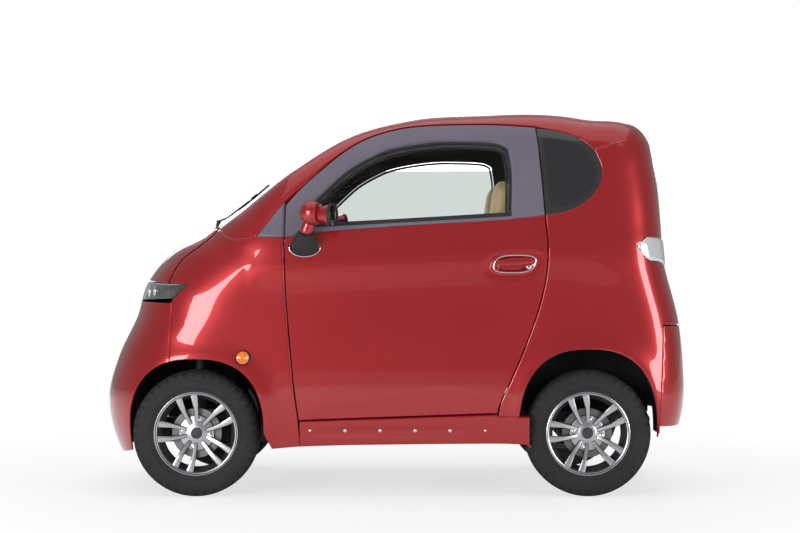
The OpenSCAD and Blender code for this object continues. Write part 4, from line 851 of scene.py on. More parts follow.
press = pressed([outer, window], 34, flat=True, step=(12, 12), gap=7)
lip = pressed([inward(window, -13), inward(window, -1)], 3, flat=True, depth=-1.5, roll=0.8, step=(6, 6), gap=6)
channel = pressed([inward(window, -0.5), inward(window, 7)], 9, flat=True, depth=8, roll=1.0, step=(5, 5), gap=7)
glass = pressed([inward(window, 0.8)], 4.5, flat=True, depth=14, roll=0, step=(30, 30))
edge = arc(WINDOW["low"], 30)
waist = pressed([joined(edge + [0, -2], edge[::-1] + [0, 17])], 7, flat=True, depth=1.5, roll=1.2, step=(8, 5), gap=6)
liner_strip = pressed([inward(window, 8), inward(window, 13)], 8, flat=True, depth=26, roll=0.5, step=(5, 5), gap=9)
for body, hand in (("door_left", 1), ("door_right", -1)):
    for name, part, looks, node in (("_frame", press, [trim_grey, black_plastic], ["door_frame" + body[4:]]),
                                    ("_frame_lip", lip, [trim_grey, trim_grey], []),
                                    ("_glass_channel", channel, [rubber, rubber], []),
                                    ("_waist_seal", waist, [rubber, rubber], []),
                                    ("_inner_seal", liner_strip, [rubber, rubber], []),
                                    ("_pane", glass, [clear_glass, clear_glass], ["door_glass" + body[4:]])):
        points, sides = (part[0], part[1]) if hand > 0 else mirrored(part[0], part[1])
        add_piece(body + name, points, sides, body, looks, node, part[2])


# ---- Doors: handles
# A bezel with a bright edge round a cup pressed into the skin, a pull-up paddle across its upper half
# and a key lock behind it.
bright, w = finish("bright_chrome", Specular_IOR_Level=0.6)
noise(w, 30).blend((0.72, 0.72, 0.74), (0.82, 0.82, 0.84)).into("Base Color")
(0.95 + noise(w, 12) * 0.05).into("Metallic")
(0.07 + noise(w, 50) * 0.05).into("Roughness")


def side_ring(points, depth):
    """Side-view points as points in space at a depth below the near skin."""
    return lay(np.asarray(points, float), True, depth)


def band(at, wide, high, size, depth, lean=0.35, power=3):
    """Thin raised ring round an oval on the door."""
    ring = side_ring(oval(at, wide, high, lean, 72), depth)
    return swept(ring, oblong(size, size * 0.9, 10, 2.4), up=(0, -1, 0), closed=True)


def cup(p):
    q = p - HANDLE
    r = (np.abs((q[:, 0] - 0.35 * q[:, 1]) / 80) ** 3 + np.abs(q[:, 1] / 33) ** 3) ** (1 / 3)
    return 2.0 + 15 * np.clip((1.0 - r) / 0.32, 0, 1)


cup_part = pressed([oval(HANDLE, 80, 33)], 1.5, flat=True, step=(4, 3), gap=4, roll=0, relief=cup)
rim = band(HANDLE, 81.5, 34.5, 4.2, -1.2)
outer_lip = pressed([oval(HANDLE, 96, 45), oval(HANDLE, 83, 35.5)], 2.4, flat=True, depth=-1.8, roll=1.4, step=(5, 4),
                    gap=4)
a, b = HANDLE + [-70, 4], HANDLE + [78, 13]
path = [side_ring([a + (b - a) * k / 14], 1.5 - 5.5 * math.sin(math.pi * k / 14) ** 0.6)[0] for k in range(15)]
paddle = swept(path, oblong(9, 27, 24, 3.2), up=(0, 0, 1),
               sizes=[[1, 0.72 + 0.34 * math.sin(math.pi * k / 14)] for k in range(15)])
place = side_ring([HANDLE + [61, -11]], 8)[0]
barrel = turned([[0.1, 9], [6.2, 9], [8.6, 8], [9.2, 6.6], [9.2, -6], [0.1, -6]], place, (0, -1, 0), 32)
slot = swept(np.array([place + [0, -9.4, -4.6], place + [0, -9.4, 4.6]]), oblong(1.5, 0.6, 8), up=(0, -1, 0))
for body, hand in (("door_left", 1), ("door_right", -1)):
    for name, part, look, node in (("_handle_bezel", outer_lip[:2], red_paint, ["door_handle" + body[4:]]),
                                   ("_handle_rim", rim, bright, []),
                                   ("_handle_cup", cup_part[:2], red_paint, []),
                                   ("_handle_paddle", paddle, red_paint, []),
                                   ("_key_lock", barrel, bright, []), ("_key_slot", slot, black_plastic, [])):
        points, sides = part if hand > 0 else mirrored(*part)
        add_solid(body + name, (points, sides), body, look, node)


# ---- Doors: mirrors
# A black cone foot with a bright gasket on the door's shoulder, a painted ball that swivels on it, and
# a round head with its glass turned to the tail.
mirror_glass, w = finish("silvered_mirror_glass")
noise(w, 4).blend((0.86, 0.87, 0.88), (0.90, 0.90, 0.91)).into("Base Color")
(0.98 + noise(w, 6) * 0.02).into("Metallic")
(0.02 + noise(w, 9) * 0.02).into("Roughness")
foot_at = np.array([FRONT + 438, 998])
seat = side_ring([foot_at], 0)[0]
crown = np.array([FRONT + 444, seat[1] - 46, 1057])
ball = np.array([FRONT + 470, seat[1] - 56, 1135])
a = np.linspace(0, 2 * math.pi, 48, endpoint=False)


def ellipse(x_half, z_half, depth):
    return side_ring(foot_at + np.stack([x_half * np.cos(a), z_half * np.sin(a)], -1), depth)


top = crown + np.stack([36 * np.cos(a), 32 * np.sin(a), 14 * np.sin(a)], -1)
base = ellipse(60, 34, -2)
rings = [ellipse(56, 30, -1.2), base, ellipse(58, 32.5, -7)]
rings += [base + (top - base) * k - np.array([0, 1, 0]) * 7 * (1 - k) * math.sin(k * 3.0) for k in (0.25, 0.5, 0.75)]
rings += [top, crown + (top - crown) * 0.93 + [0, 0, 2]]
verts = np.concatenate(rings)
faces = [[i * 48 + j, i * 48 + (j + 1) % 48, (i + 1) * 48 + (j + 1) % 48, (i + 1) * 48 + j]
         for i in range(len(rings) - 1) for j in range(48)]
cone = (verts, faces + [list(range(48))[::-1], [(len(rings) - 1) * 48 + j for j in range(48)]])
gasket = swept(ellipse(61, 35, -1.4), oblong(4, 3.6, 10, 2.4), up=(0, -1, 0), closed=True)
neck_way = ball - crown
neck = turned([[24, -1], [25, 2], [26, 8], [25, 20], [23, 34], [23, 60]], crown, neck_way, 40)
yaw = np.array([math.cos(math.radians(21)), -math.sin(math.radians(21)), 0])
shell = [[50 * math.sin(math.radians(k)), -50 * math.cos(math.radians(k))] for k in range(2, 123, 5)]
globe = turned([[0.1, -50]] + shell + [[41, 27.5], [38, 28.5], [0.1, 28.5]], ball, yaw, 64)
start = ball + yaw * 28 + [0, 0, -7]
head = turned([[24, 0], [29, 2], [31, 8], [36, 22], [41, 40], [44.5, 52], [45, 57], [43.6, 58], [42, 56], [0.1, 56]],
              start, yaw, 64)
rim = turned([[43.2, 50], [45.6, 52], [46, 62], [44.8, 65.5], [43.2, 65.5], [42.2, 60], [42.2, 52]], start, yaw, 64,
             closed=True)
disc = turned([[0.1, 61.4], [30, 61.0], [42.4, 60], [42.4, 57], [0.1, 57]], start, yaw, 64)
for body, hand in (("door_left", 1), ("door_right", -1)):
    for name, part, look, node in (("_mirror_foot", cone, black_plastic, []), ("_mirror_gasket", gasket, bright, []),
                                   ("_mirror_neck", neck, red_paint, []),
                                   ("_mirror_ball", globe, red_paint, ["mirror" + body[4:]]),
                                   ("_mirror_head", head, red_paint, []), ("_mirror_rim", rim, rubber, []),
                                   ("_mirror_glass", disc, mirror_glass, [])):
        points, sides = part if hand > 0 else mirrored(*part)
        add_solid(body + name, (points, sides), body, look, node)


# ---- Wheel arch linings
# Moulded black plastic shells behind the four arches, ribbed along the arch and fixed by push clips.
# Near-black swaged plates inboard of them are painted shade for the dark depth of the wheel wells.
def slab(face, back):
    """Points and faces of a closed sheet between two grids of points."""
    n, m = face.shape[:2]
    at = np.arange(2 * n * m).reshape(2, n, m)
    faces = [[at[k, i, j], at[k, i + 1, j], at[k, i + 1, j + 1], at[k, i, j + 1]]
             for k in (0, 1) for i in range(n - 1) for j in range(m - 1)]
    ring = ([(i, 0) for i in range(n)] + [(n - 1, j) for j in range(1, m)]
            + [(i, m - 1) for i in range(n - 2, -1, -1)] + [(0, j) for j in range(m - 2, 0, -1)])
    faces += [[at[0][p], at[1][p], at[1][q], at[0][q]] for p, q in zip(ring, ring[1:] + ring[:1])]
    return np.concatenate([face.reshape(-1, 3), back.reshape(-1, 3)]), [[int(i) for i in f] for f in faces]


liner_black, w = finish("matt_black_liner", Specular_IOR_Level=0.2)
noise(w, 60).blend((0.006, 0.006, 0.007), (0.016, 0.016, 0.017)).into("Base Color")
(0.7 + noise(w, 20) * 0.2).into("Roughness")
noise(w, 500, 3.0).bump(0.3, 0.0006).into("Normal")


def liner(arch, start, foot, inboard, notch, depth):
    """Lining of one arch, from the skin's inside to its inboard edge."""
    grids = []
    for grow in (6.0, 3.0):
        line = arch_line(arch, start, 0, 72, grow)
        line = np.concatenate([straight([[line[0, 0], foot], line[0]], 3)[:-1]] * (start == 180) + [line,
                straight([line[-1], [line[-1, 0], foot]], 4)[1:]])
        v = line - CORE
        spot = on_side(line + v / np.linalg.norm(v, axis=1)[:, None] * 11)
        outer = skin(spot[:, 0], spot[:, 1], depth)[:, 1]
        ease = np.clip((np.abs(line[:, 0] - arch[0]) - 92) / 16, 0, 1)
        inner = -(notch + (inboard - notch) * ease)
        t = np.linspace(0, 1, 29)
        y = outer[:, None] + (inner - outer)[:, None] * t
        x = np.broadcast_to(line[:, :1], y.shape)
        z = np.broadcast_to(line[:, 1:], y.shape)
        lift = 1.6 * (np.sin((y + 400) / 11) > 0.2)
        hub = np.stack([x - arch[0], z - TYRE], -1)
        hub /= np.maximum(np.linalg.norm(hub, axis=2), 1)[..., None]
        grids.append(np.stack([x + hub[..., 0] * lift, y, z + hub[..., 1] * lift], -1))
    return slab(*grids)


front = liner(FRONT_ARCH, 180, 215, 310.4, 462, 17)
rear = liner(REAR_ARCH, 162, 262, 425, 425, 16.2)
near = together(front, rear)
# Painted shade: near-black plates with swages across the inboard side of each arch stand for the shade deep in the
# wheel wells.
inner = []
for x0, x1, y in ((FRONT - 205, FRONT + 133, -299), (REAR - 262, REAR + 262, -416)):
    x, z = np.meshgrid(np.linspace(x0, x1, 49), np.linspace(330, 632, 29), indexing="ij")
    swage = 4 * np.clip(np.sin((x - x0) / 26) * 3, 0, 1) * np.clip(np.sin((z - 330) / 302 * math.pi) * 4, 0, 1)
    inner.append(slab(np.stack([x, y - swage, z], -1), np.stack([x, y + 1.2 - swage, z], -1)))
inner = together(*inner)
add_solid("inner_wing_panels", together(inner, mirrored(*inner)), "car_body", liner_black)
add_solid("arch_linings", together(near, mirrored(*near)), "car_body", liner_black, ["wheel_liners"], sharp=50)


# ---- Headlamps
# Pointed lamps let into wing and bumper: clear lens, black housing, two bright cups and a pale
# frame at the nose end.
def lamp_grid(low, high, depth, rows=9, start=0.0, end=1.0):
    """Points between two lines of [direction, turn], at a depth."""
    t = np.linspace(start, end, rows)[None, :, None]
    spot = low[:, None] * (1 - t) + high[:, None] * t
    return skin(spot[..., 0], spot[..., 1], depth)


def inset_lines(low, high, ends, edge):
    """The same two lines drawn in by a share at both ends and towards each other."""
    n = len(low)
    k = np.linspace(ends * (n - 1), (1 - ends) * (n - 1), n)
    lines = [np.stack([np.interp(k, np.arange(n), line[:, c]) for c in (0, 1)], -1) for line in (low, high)]
    return lines[0] + (lines[1] - lines[0]) * edge, lines[1] + (lines[0] - lines[1]) * edge


def spaced(points, n=29):
    """n points evenly spaced in the parameter of a broken line of [direction, turn]."""
    p = np.asarray(points, float)
    real = skin(p[:, 0], p[:, 1])
    run = np.concatenate([[0], np.cumsum(np.linalg.norm(np.diff(real, axis=0), axis=1))])
    k = np.linspace(0, run[-1], n)
    return np.stack([np.interp(k, run, p[:, c]) for c in (0, 1)], -1)


clear_plastic, w = finish("clear_lamp_plastic", IOR=1.45, Transmission_Weight=1.0, Coat_Weight=0.6, Coat_Roughness=0.02)
noise(w, 3).blend((0.97, 0.97, 0.97), (1.0, 1.0, 1.0)).into("Base Color")
(0.015 + noise(w, 12) * 0.015).into("Roughness")
lamp_dark, w = finish("dark_lamp_housing", Specular_IOR_Level=0.5)
noise(w, 30).blend((0.02, 0.02, 0.022), (0.05, 0.05, 0.055)).into("Base Color")
(0.3 + noise(w, 90) * 0.15).into("Roughness")
low = on_side(straight([[FRONT - 35, 851.6], [SEAM_X + 13, 808], [SEAM_X - 1.5, 794]], 4))
low = spaced(np.concatenate([low, straight([low[-1], [LAMP_UNDER - 0.12, LAMP_TURN + 0.6]], 6)[1:]]))
high = on_side(straight([[FRONT - 35, 853], [SEAM_X + 20, 855.5], [FRONT - 121, 856]], 4))
high = spaced(np.concatenate([high, straight([high[-1], [HOOD_FRONT + 0.35, LAMP_TURN + 4.2]], 6)[1:]]))
lens = slab(lamp_grid(low, high, 0.6), lamp_grid(low, high, 3.4))
low_in, high_in = inset_lines(low, high, 0.02, 0.04)
floor_grid = lamp_grid(low_in, high_in, 38.0)
back = slab(floor_grid, lamp_grid(low_in, high_in, 40.0))
rim_line = np.concatenate([low_in, high_in[::-1]])
wall = skin(rim_line[:, 0], rim_line[:, 1], 4.0), skin(rim_line[:, 0], rim_line[:, 1], 39.0)
inner_line = np.concatenate([low_in + (high_in - low_in) * 0.03, (high_in + (low_in - high_in) * 0.03)[::-1]])
inner_wall = skin(inner_line[:, 0], inner_line[:, 1], 4.0), skin(inner_line[:, 0], inner_line[:, 1], 39.0)
tub = slab(np.stack(wall, 1)[np.r_[0:len(rim_line), 0]], np.stack(inner_wall, 1)[np.r_[0:len(rim_line), 0]])
add_solid("headlamp_lenses", together(lens, mirrored(*lens)), "car_body", clear_plastic, ["headlamps"], sharp=60)
shell = together(back, tub)
add_solid("headlamp_housings", together(shell, mirrored(*shell)), "car_body", lamp_dark)


def lamp_spot(along, up, depth, low=low, high=high):
    """A point of the lamp: along it from its rear tip, up it and below its skin."""
    k = along * (len(low) - 1)
    a, b = ([np.interp(k, np.arange(len(line)), line[:, c]) for c in (0, 1)] for line in (low, high))
    return skin(a[0] + (b[0] - a[0]) * up, a[1] + (b[1] - a[1]) * up, depth)


cups = []
for along, radius in ((0.56, 21), (0.78, 23)):
    seat = lamp_spot(along, 0.5, 32)
    cups.append(turned([[3, 0], [radius * 0.55, 3], [radius * 0.85, 10], [radius, 21], [radius + 1.5, 21],
                        [radius + 1, 9], [radius * 0.6, 0], [4, -3]], seat, (-0.93, -0.36, 0), n=40, closed=True))
    cups.append(turned([[0.1, 16], [5, 15], [7, 11], [7, 2], [5, 0], [0.1, 0]], seat, (-0.93, -0.36, 0), n=24))
bar = np.array([lamp_spot(0.901, 0.12 + 0.76 * k / 8, 7) for k in range(9)])
frame_line = np.array([lamp_spot(0.12 + 0.8 * k / 24, 0.9, 6) for k in range(25)])
cups += [swept(bar, oblong(9, 5)), swept(frame_line, oblong(4, 3))]
parts = together(*cups)
add_solid("headlamp_cups", together(parts, mirrored(*parts)), "car_body", bright, bevel=0.3)


# ---- Tail lamps
# Clear lenses that stand proud at the rear corners over a bright reflector with slanting ribs.
low = on_side(straight([[REAR + 195, 1002], [REAR + 240, 946]], 4))
low = spaced(np.concatenate([low, straight([low[-1], [9.4, 54]], 6)[1:]]), 33)
high = on_side(straight([[REAR + 197, 1010], [REAR + 235, 1044]], 4))
high = spaced(np.concatenate([high, straight([high[-1], [14.6, 54]], 6)[1:]]), 33)
dome = np.sin(np.linspace(0, math.pi, 33))[:, None] ** 0.35 * np.sin(np.linspace(0, math.pi, 17))[None] ** 0.35
lens = slab(lamp_grid(low, high, -2.6 - 8.2 * dome, 17), lamp_grid(low, high, -1.0 - 7.4 * dome, 17))
add_solid("tail_lamp_lenses", together(lens, mirrored(*lens)), "car_body", clear_plastic, ["tail_lamps"], sharp=50)
slant = np.arange(33)[:, None] / 2.2 + np.arange(17)[None] / 3.0
ridge = 1.3 * np.abs(slant % 2 - 1) * dome
low_in, high_in = inset_lines(low, high, 0.02, 0.05)
mirror_bed = slab(lamp_grid(low_in, high_in, -1.4 - 4.2 * dome - ridge, 17),
                  lamp_grid(low_in, high_in, -0.8 + 0 * dome, 17))
add_solid("tail_lamp_reflectors", together(mirror_bed, mirrored(*mirror_bed)), "car_body", bright, sharp=20)


# ---- Side markers
# Round amber lamps on the front wings, ribbed across, each in a thin black ring.
amber, w = finish("amber_lamp_plastic", Coat_Weight=1.0, Coat_Roughness=0.04, Transmission_Weight=0.2, IOR=1.46)
noise(w, 8).blend((0.80, 0.17, 0.01), (0.95, 0.26, 0.02)).into("Base Color")
(0.16 + noise(w, 60) * 0.05).into("Roughness")
MARKER = np.array([FRONT + 196, 562])
phi = np.linspace(0, 2 * math.pi, 64, endpoint=False)


def on_marker(radius, depth):
    ring = MARKER + radius * np.stack([np.cos(phi), np.sin(phi)], -1)
    spot = on_side(ring)
    return skin(spot[:, 0], spot[:, 1], depth)


def ringed(stations, closed=False):
    """Rings of points about the marker joined into a shell."""
    rows = [on_marker(r, d) if np.ndim(d) == 0 else on_marker(r, 0) + [0, -1, 0] * np.reshape(-np.asarray(d), (-1, 1))
            for r, d in stations]
    n = len(phi)
    faces = [[i * n + j, i * n + (j + 1) % n, (i + 1) % len(rows) * n + (j + 1) % n, (i + 1) % len(rows) * n + j]
             for i in range(len(rows) - (not closed)) for j in range(n)]
    if not closed:
        faces += [list(range(n))[::-1], [(len(rows) - 1) * n + j for j in range(n)]]
    return np.concatenate(rows), faces


face = [(25.0, -1.0), (25.0, -7.0), (24.0, -8.4)]
face += [(r, -8.8 - 1.0 * (k % 2)) for k, r in enumerate(np.linspace(22, 3, 14))]
amber_lens = ringed(face)
ring = ringed([(25.6, -1.0), (25.6, -8.2), (26.5, -9.4), (28.4, -8.6), (29.0, -6.0), (29.0, -1.0)], closed=True)
add_solid("side_marker_lenses", together(amber_lens, mirrored(*amber_lens)), "car_body", amber, ["side_markers"])
add_solid("side_marker_rings", together(ring, mirrored(*ring)), "car_body", black_plastic)


# ---- Tyres
# Radial road tyres: four ribs with lateral sipes, block shoulders, a rim guard and fine sidewall
# rings. They carry no lettering.
tyre_rubber, w = finish("tyre_rubber", Specular_IOR_Level=0.3)
noise(w, 12, 4.0).blend((0.011, 0.011, 0.012), (0.026, 0.025, 0.025)).into("Base Color")
(0.62 + noise(w, 60) * 0.2).into("Roughness")
noise(w, 900, 3.0).bump(0.15, 0.0003).into("Normal")
RIM, HALF = 170, 72.5
WHEELS = (("fl", FRONT, -1), ("fr", FRONT, 1), ("rl", REAR, -1), ("rr", REAR, 1))


def stood(part, x, side):
    """A wheel part drawn flat, outer face up, stood on its hub."""
    v = np.asarray(part[0])
    return np.stack([v[:, 0] + x, side * (v[:, 2] + 527), v[:, 1] * -side + TYRE], -1), part[1]


tread = [[RIM + 54, HALF - 2.2], [RIM + 62, HALF - 4.0], [RIM + 70, HALF - 6.6], [TYRE - 9, HALF - 11],
         [TYRE - 5, HALF - 15], [TYRE - 2.5, HALF - 19]]
mid = [[TYRE - 2.5 * abs(z / 53) ** 2, z] for z in np.linspace(50, -50, 51)]
sidewall = [[RIM - 12, HALF - 15], [RIM - 8, HALF - 10], [RIM - 1, HALF - 7.2], [RIM + 3, HALF - 5.6],
            [RIM + 9, HALF - 3.4], [RIM + 12, HALF - 2.8],
            [RIM + 12.8, HALF - 3.8], [RIM + 14, HALF - 3.8], [RIM + 15, HALF - 2.2], [RIM + 24, HALF - 0.8],
            [RIM + 34, HALF - 0.3],
            [RIM + 42, HALF - 0.7], [RIM + 43, HALF - 1.6], [RIM + 44, HALF - 1.6], [RIM + 45, HALF - 1.0],
            [RIM + 50, HALF - 1.6]]
outer = sidewall + tread
profile = np.array(outer + mid + [[r, -z] for r, z in reversed(outer)])
profile = np.concatenate([profile, [[RIM - 12, -30], [RIM + 30, -HALF + 16], [TYRE - 16, -HALF + 26], [TYRE - 14, 0],
                                    [TYRE - 16, HALF - 26], [RIM + 30, HALF - 16], [RIM - 12, 30]]])
n_tread = 240
angle = np.linspace(0, 2 * math.pi, n_tread, endpoint=False)
r = np.repeat(profile[None, :, 0], n_tread, 0)
z = np.repeat(profile[None, :, 1], n_tread, 0)
step = np.arange(n_tread)[:, None]
on_top = (r > TYRE - 3) & (np.abs(z) < 54)
groove = on_top & ((np.abs(np.abs(z) - 14) < 2.6) | (np.abs(np.abs(z) - 35) < 2.8))
sipe = on_top & ((step + np.round(np.abs(z) / 5).astype(int)) % 6 == 0) & (np.abs(z) > 3)
block = (r > RIM + 60) & (np.abs(z) > 52) & (step % 6 < 2)
r = r - 6.0 * groove - 3.5 * (sipe & ~groove) - 3.0 * block
z = z - np.sign(z) * 3.5 * block
m = len(profile)
verts = np.stack([r * np.cos(angle)[:, None], r * np.sin(angle)[:, None], z], -1).reshape(-1, 3)
faces = [[i * m + j, (i + 1) % n_tread * m + j, (i + 1) % n_tread * m + (j + 1) % m, i * m + (j + 1) % m]
         for i in range(n_tread) for j in range(m)]
for key, x, side in WHEELS:
    add_solid("road_tyre_" + key, stood((verts, faces), x, side), "wheel_" + key, tyre_rubber, ["tyre_" + key],
              sharp=32)


# ---- Alloy wheels
# Cast wheels with five pairs of spokes, turned bright on their faces and dark between, over a
# plain brake disc; four nuts and a blank cap.
alloy, w = finish("machined_and_dark_alloy", IOR=1.5)
facing = w.node("ShaderNodeTexCoord", out=1)
facing = w.node("ShaderNodeSeparateXYZ", out=1, Vector=facing).math("ABSOLUTE").step(0.80, 0.90)
rings = noise(w, 120, 2.0)
facing.blend((0.035, 0.035, 0.04), (0.50, 0.51, 0.53)).into("Base Color")
(0.25 + facing * 0.65).into("Metallic")
(0.42 - facing * 0.14 + rings * 0.06).into("Roughness")
dark_alloy, w = finish("dark_cast_alloy", IOR=1.5, Metallic=0.5)
noise(w, 40).blend((0.03, 0.03, 0.034), (0.07, 0.07, 0.075)).into("Base Color")
(0.45 + noise(w, 90) * 0.15).into("Roughness")
steel, w = finish("ground_brake_steel", Metallic=1.0)
noise(w, 12).blend((0.16, 0.155, 0.15), (0.26, 0.255, 0.25)).into("Base Color")
(0.34 + noise(w, 200) * 0.14).into("Roughness")
FACE = 60.5
barrel = turned([[RIM - 2, FACE + 6.0], [RIM - 5.5, FACE + 7.5], [RIM - 8, FACE + 5.5], [RIM - 9.5, FACE - 2],
                 [RIM - 14.6, FACE - 5],
                 [RIM - 15.5, 30], [RIM - 27, 18], [RIM - 27, -20], [RIM - 15.5, -34], [RIM - 14.6, -FACE + 5],
                 [RIM - 9.5, -FACE + 1],
                 [RIM - 4, -FACE - 6], [RIM - 6, -FACE - 7], [RIM - 19, -FACE + 2], [RIM - 20, -34], [RIM - 31, -20],
                 [RIM - 31, 18],
                 [RIM - 20, 32], [RIM - 19, FACE - 8], [RIM - 13, FACE + 1]], (0, 0, 0), n=120, closed=True)
spokes = []
for k in range(5):
    for s in (-1, 1):
        turn = math.radians(105 + 72 * k)
        foot = np.array([42, s * 13.0])
        top = np.array([RIM - 17, s * 31.0])
        path = []
        for t in np.linspace(0, 1, 17):
            p = foot + (top - foot) * t + [0, s * 3.5 * math.sin(math.pi * t)]
            lift = 30 + 22 * t ** 0.8 + 3 * math.sin(math.pi * t)
            path.append([p[0] * math.cos(turn) - p[1] * math.sin(turn), p[0] * math.sin(turn) + p[1] * math.cos(turn),
                         lift])
        wide = 0.95 + 0.75 * np.linspace(0, 1, 17) ** 1.6
        spokes.append(swept(path, oblong(17, 15, 20, 5), sizes=np.stack([wide, np.full(17, 1.0)], -1)))
hub = turned([[0.1, 37], [30, 37], [34, 35.5], [44, 32], [60, 31], [70, 28], [73, 24], [70, 20],
              [17.5, 20], [17.4, 26], [0.1, 26]], (0, 0, 0), n=96)
nuts = []
for k in range(4):
    a = math.radians(80 + 90 * k)
    spot = (57 * math.cos(a), 57 * math.sin(a), 0)
    nuts.append(turned([[0.1, 42], [5.5, 41.6], [8.6, 39.5], [8.6, 33], [10.2, 32.6], [10.2, 30], [0.1, 30]], spot,
                       n=6))
    nuts.append(turned([[11, 35.2], [13.2, 35.4], [14, 34.6], [13.6, 33.0], [11, 33.0]], spot, n=32, closed=True))
cap = turned([[0.1, 40.5], [14, 40.2], [17, 39.6], [18, 40.6], [20.5, 40.6], [22.5, 38.8], [23, 36], [0.1, 36]],
             (0, 0, 0), n=64)
disc = turned([[34, 20], [34, 26], [60, 26], [63, 20.2], [99.5, 20.2], [100, 19.4], [100, 14.8], [99.5, 14], [62, 14],
               [58, 12], [34, 12]], (0, 0, 0), n=96, closed=True)
for key, x, side in WHEELS:
    on = "wheel_" + key
    add_solid("alloy_face_" + key, stood(together(*spokes, hub), x, side), on, alloy, ["rim_" + key], bevel=0.8,
              sharp=30)
    add_solid("rim_barrel_" + key, stood(barrel, x, side), on, alloy, sharp=30)
    add_solid("wheel_nuts_" + key, stood(together(*nuts), x, side), on, bright, bevel=0.3)
    add_solid("wheel_cap_" + key, stood(cap, x, side), on, dark_alloy, bevel=0.2)
    add_solid("brake_disc_" + key, stood(disc, x, side), on, steel, bevel=0.3)


# ---- Seats
# Two high-backed seats in tan leather: a channelled cushion and a backrest with its head pad, padded
# and sewn at welts, on black moulded bases. The padding is puffed out by a short cloth run.
leather, w = finish("tan_leather", Specular_IOR_Level=0.45)
noise(w, 9, 3.0).blend((0.52, 0.36, 0.20), (0.64, 0.47, 0.28)).into("Base Color")
(0.50 + noise(w, 40) * 0.15).into("Roughness")
(noise(w, 420, 4.0) * 0.7 + noise(w, 900, 2.0) * 0.3).bump(0.25, 0.0005).into("Normal")
welt_thread, w = finish("dark_tan_welt", Specular_IOR_Level=0.3)
noise(w, 60).blend((0.24, 0.15, 0.08), (0.34, 0.22, 0.12)).into("Base Color")
(0.6 + noise(w, 150) * 0.15).into("Roughness")


def pad(path, wide, deep, sizes, power=5.0, n=56):
    """A closed cushion form along a path in the plane y = 0."""
    return swept(path, oblong(wide, deep, n, power), sizes=sizes)


def stretched(points, n):
    p = np.asarray(points, float)
    run = np.concatenate([[0], np.cumsum(np.linalg.norm(np.diff(p, axis=0), axis=1))])
    k = np.linspace(0, run[-1], n)
    fine = np.stack([through(np.stack([run, p[:, c]], -1), k) for c in range(3)], -1)
    return fine


def puffed(name, part, lines, normal):
    """The pad as a mesh of its own, its free faces blown out between sewn lines by a cloth run."""
    mesh = bpy.data.meshes.new(name)
    mesh.from_pydata((part[0] / 1000).tolist(), [], part[1])
    work = bmesh.new()
    work.from_mesh(mesh)
    bmesh.ops.recalc_face_normals(work, faces=work.faces)
    work.to_mesh(mesh)
    work.free()
    mesh.materials.append(leather)
    thing = bpy.data.objects.new(name, mesh)
    bpy.context.scene.collection.objects.link(thing)
    grid = thing.modifiers.new("even_mesh", "REMESH")
    grid.mode, grid.voxel_size = "VOXEL", 0.006
    graph = bpy.context.evaluated_depsgraph_get()
    thing.data = bpy.data.meshes.new_from_object(thing.evaluated_get(graph))
    thing.modifiers.clear()
    co = np.array([v.co for v in thing.data.vertices]) * 1000
    away = np.array([v.normal for v in thing.data.vertices]) @ np.asarray(normal, float)
    held = np.ones(len(co))
    held[away > 0.55] = 0.0
    for line in lines:
        held = np.maximum(held, np.exp(-((line(co) / 5.0) ** 2)) > 0.5)
    group = thing.vertex_groups.new(name="sewn")
    group.add([int(k) for k in np.nonzero(held > 0.5)[0]], 1.0, "REPLACE")
    cloth = thing.modifiers.new("padding", "CLOTH")
    cloth.settings.vertex_group_mass = "sewn"
    cloth.settings.use_pressure, cloth.settings.uniform_pressure_force = True, 4.0
    cloth.settings.effector_weights.gravity = 0.0
    cloth.settings.quality = 4
    cloth.settings.tension_stiffness = cloth.settings.compression_stiffness = 18
    for frame_number in range(1, 21):
        bpy.context.scene.frame_set(frame_number)
    graph = bpy.context.evaluated_depsgraph_get()
    puff = thing.evaluated_get(graph).data
    moved = np.array([v.co for v in puff.vertices]) * 1000 - co
    size = np.linalg.norm(moved, axis=1)[:, None]
    moved *= np.minimum(1.0, 9.0 / np.maximum(size, 1e-6))
    thing.modifiers.clear()
    bpy.context.scene.frame_set(1)
    thing.data.vertices.foreach_set("co", ((co + moved) / 1000).ravel())
    thing.data.shade_smooth()
    return thing


cushion_path = stretched([[-26, 0, 512], [120, 0, 514], [250, 0, 516], [352, 0, 522]], 17)
ends = np.array([[0.93, 0.72], [0.98, 0.95], [1.0, 1.0]] + [[1.0, 1.0]] * 11 + [[1.0, 1.0], [0.99, 0.98], [0.95, 0.85]])
cushion = pad(cushion_path, 408, 96, ends)
back_path = stretched([[398, 0, 570], [404, 0, 700], [416, 0, 860], [432, 0, 1010], [444, 0, 1090]], 21)
ends = np.array([[0.95, 0.8], [0.99, 1.0]] + [[1.0, 1.0]] * 13 + [[0.98, 1.0], [0.95, 1.0], [0.90, 0.98], [0.84, 0.95],
                                                                  [0.76, 0.9], [0.70, 0.7]])
back = pad(back_path, 402, 88, ends)
head_path = stretched([[444, 0, 1100], [450, 0, 1160], [458, 0, 1220], [464, 0, 1276]], 13)
ends = np.array([[0.90, 0.75], [0.98, 0.95], [1.0, 1.0], [1.0, 1.0], [1.0, 1.0], [1.0, 1.0], [1.0, 1.0], [0.99, 1.0],
                 [0.97, 1.0],
                 [0.94, 0.98], [0.88, 0.92], [0.78, 0.80], [0.6, 0.5]])
head = pad(head_path, 262, 80, ends, power=3.6)
def side_seam(at):
    """Seams along both sides of a pad: gives each point's distance from them."""
    return lambda co: np.abs(co[:, 1]) - at


def across_x(at):
    """Seam across the cushion, between its side bolsters."""
    return lambda co: np.where(np.abs(co[:, 1]) < 140, co[:, 0] - at, 99.0)


def across_z(at):
    """Seam across the backrest, between its side bolsters."""
    return lambda co: np.where(np.abs(co[:, 1]) < 136, co[:, 2] - at, 99.0)


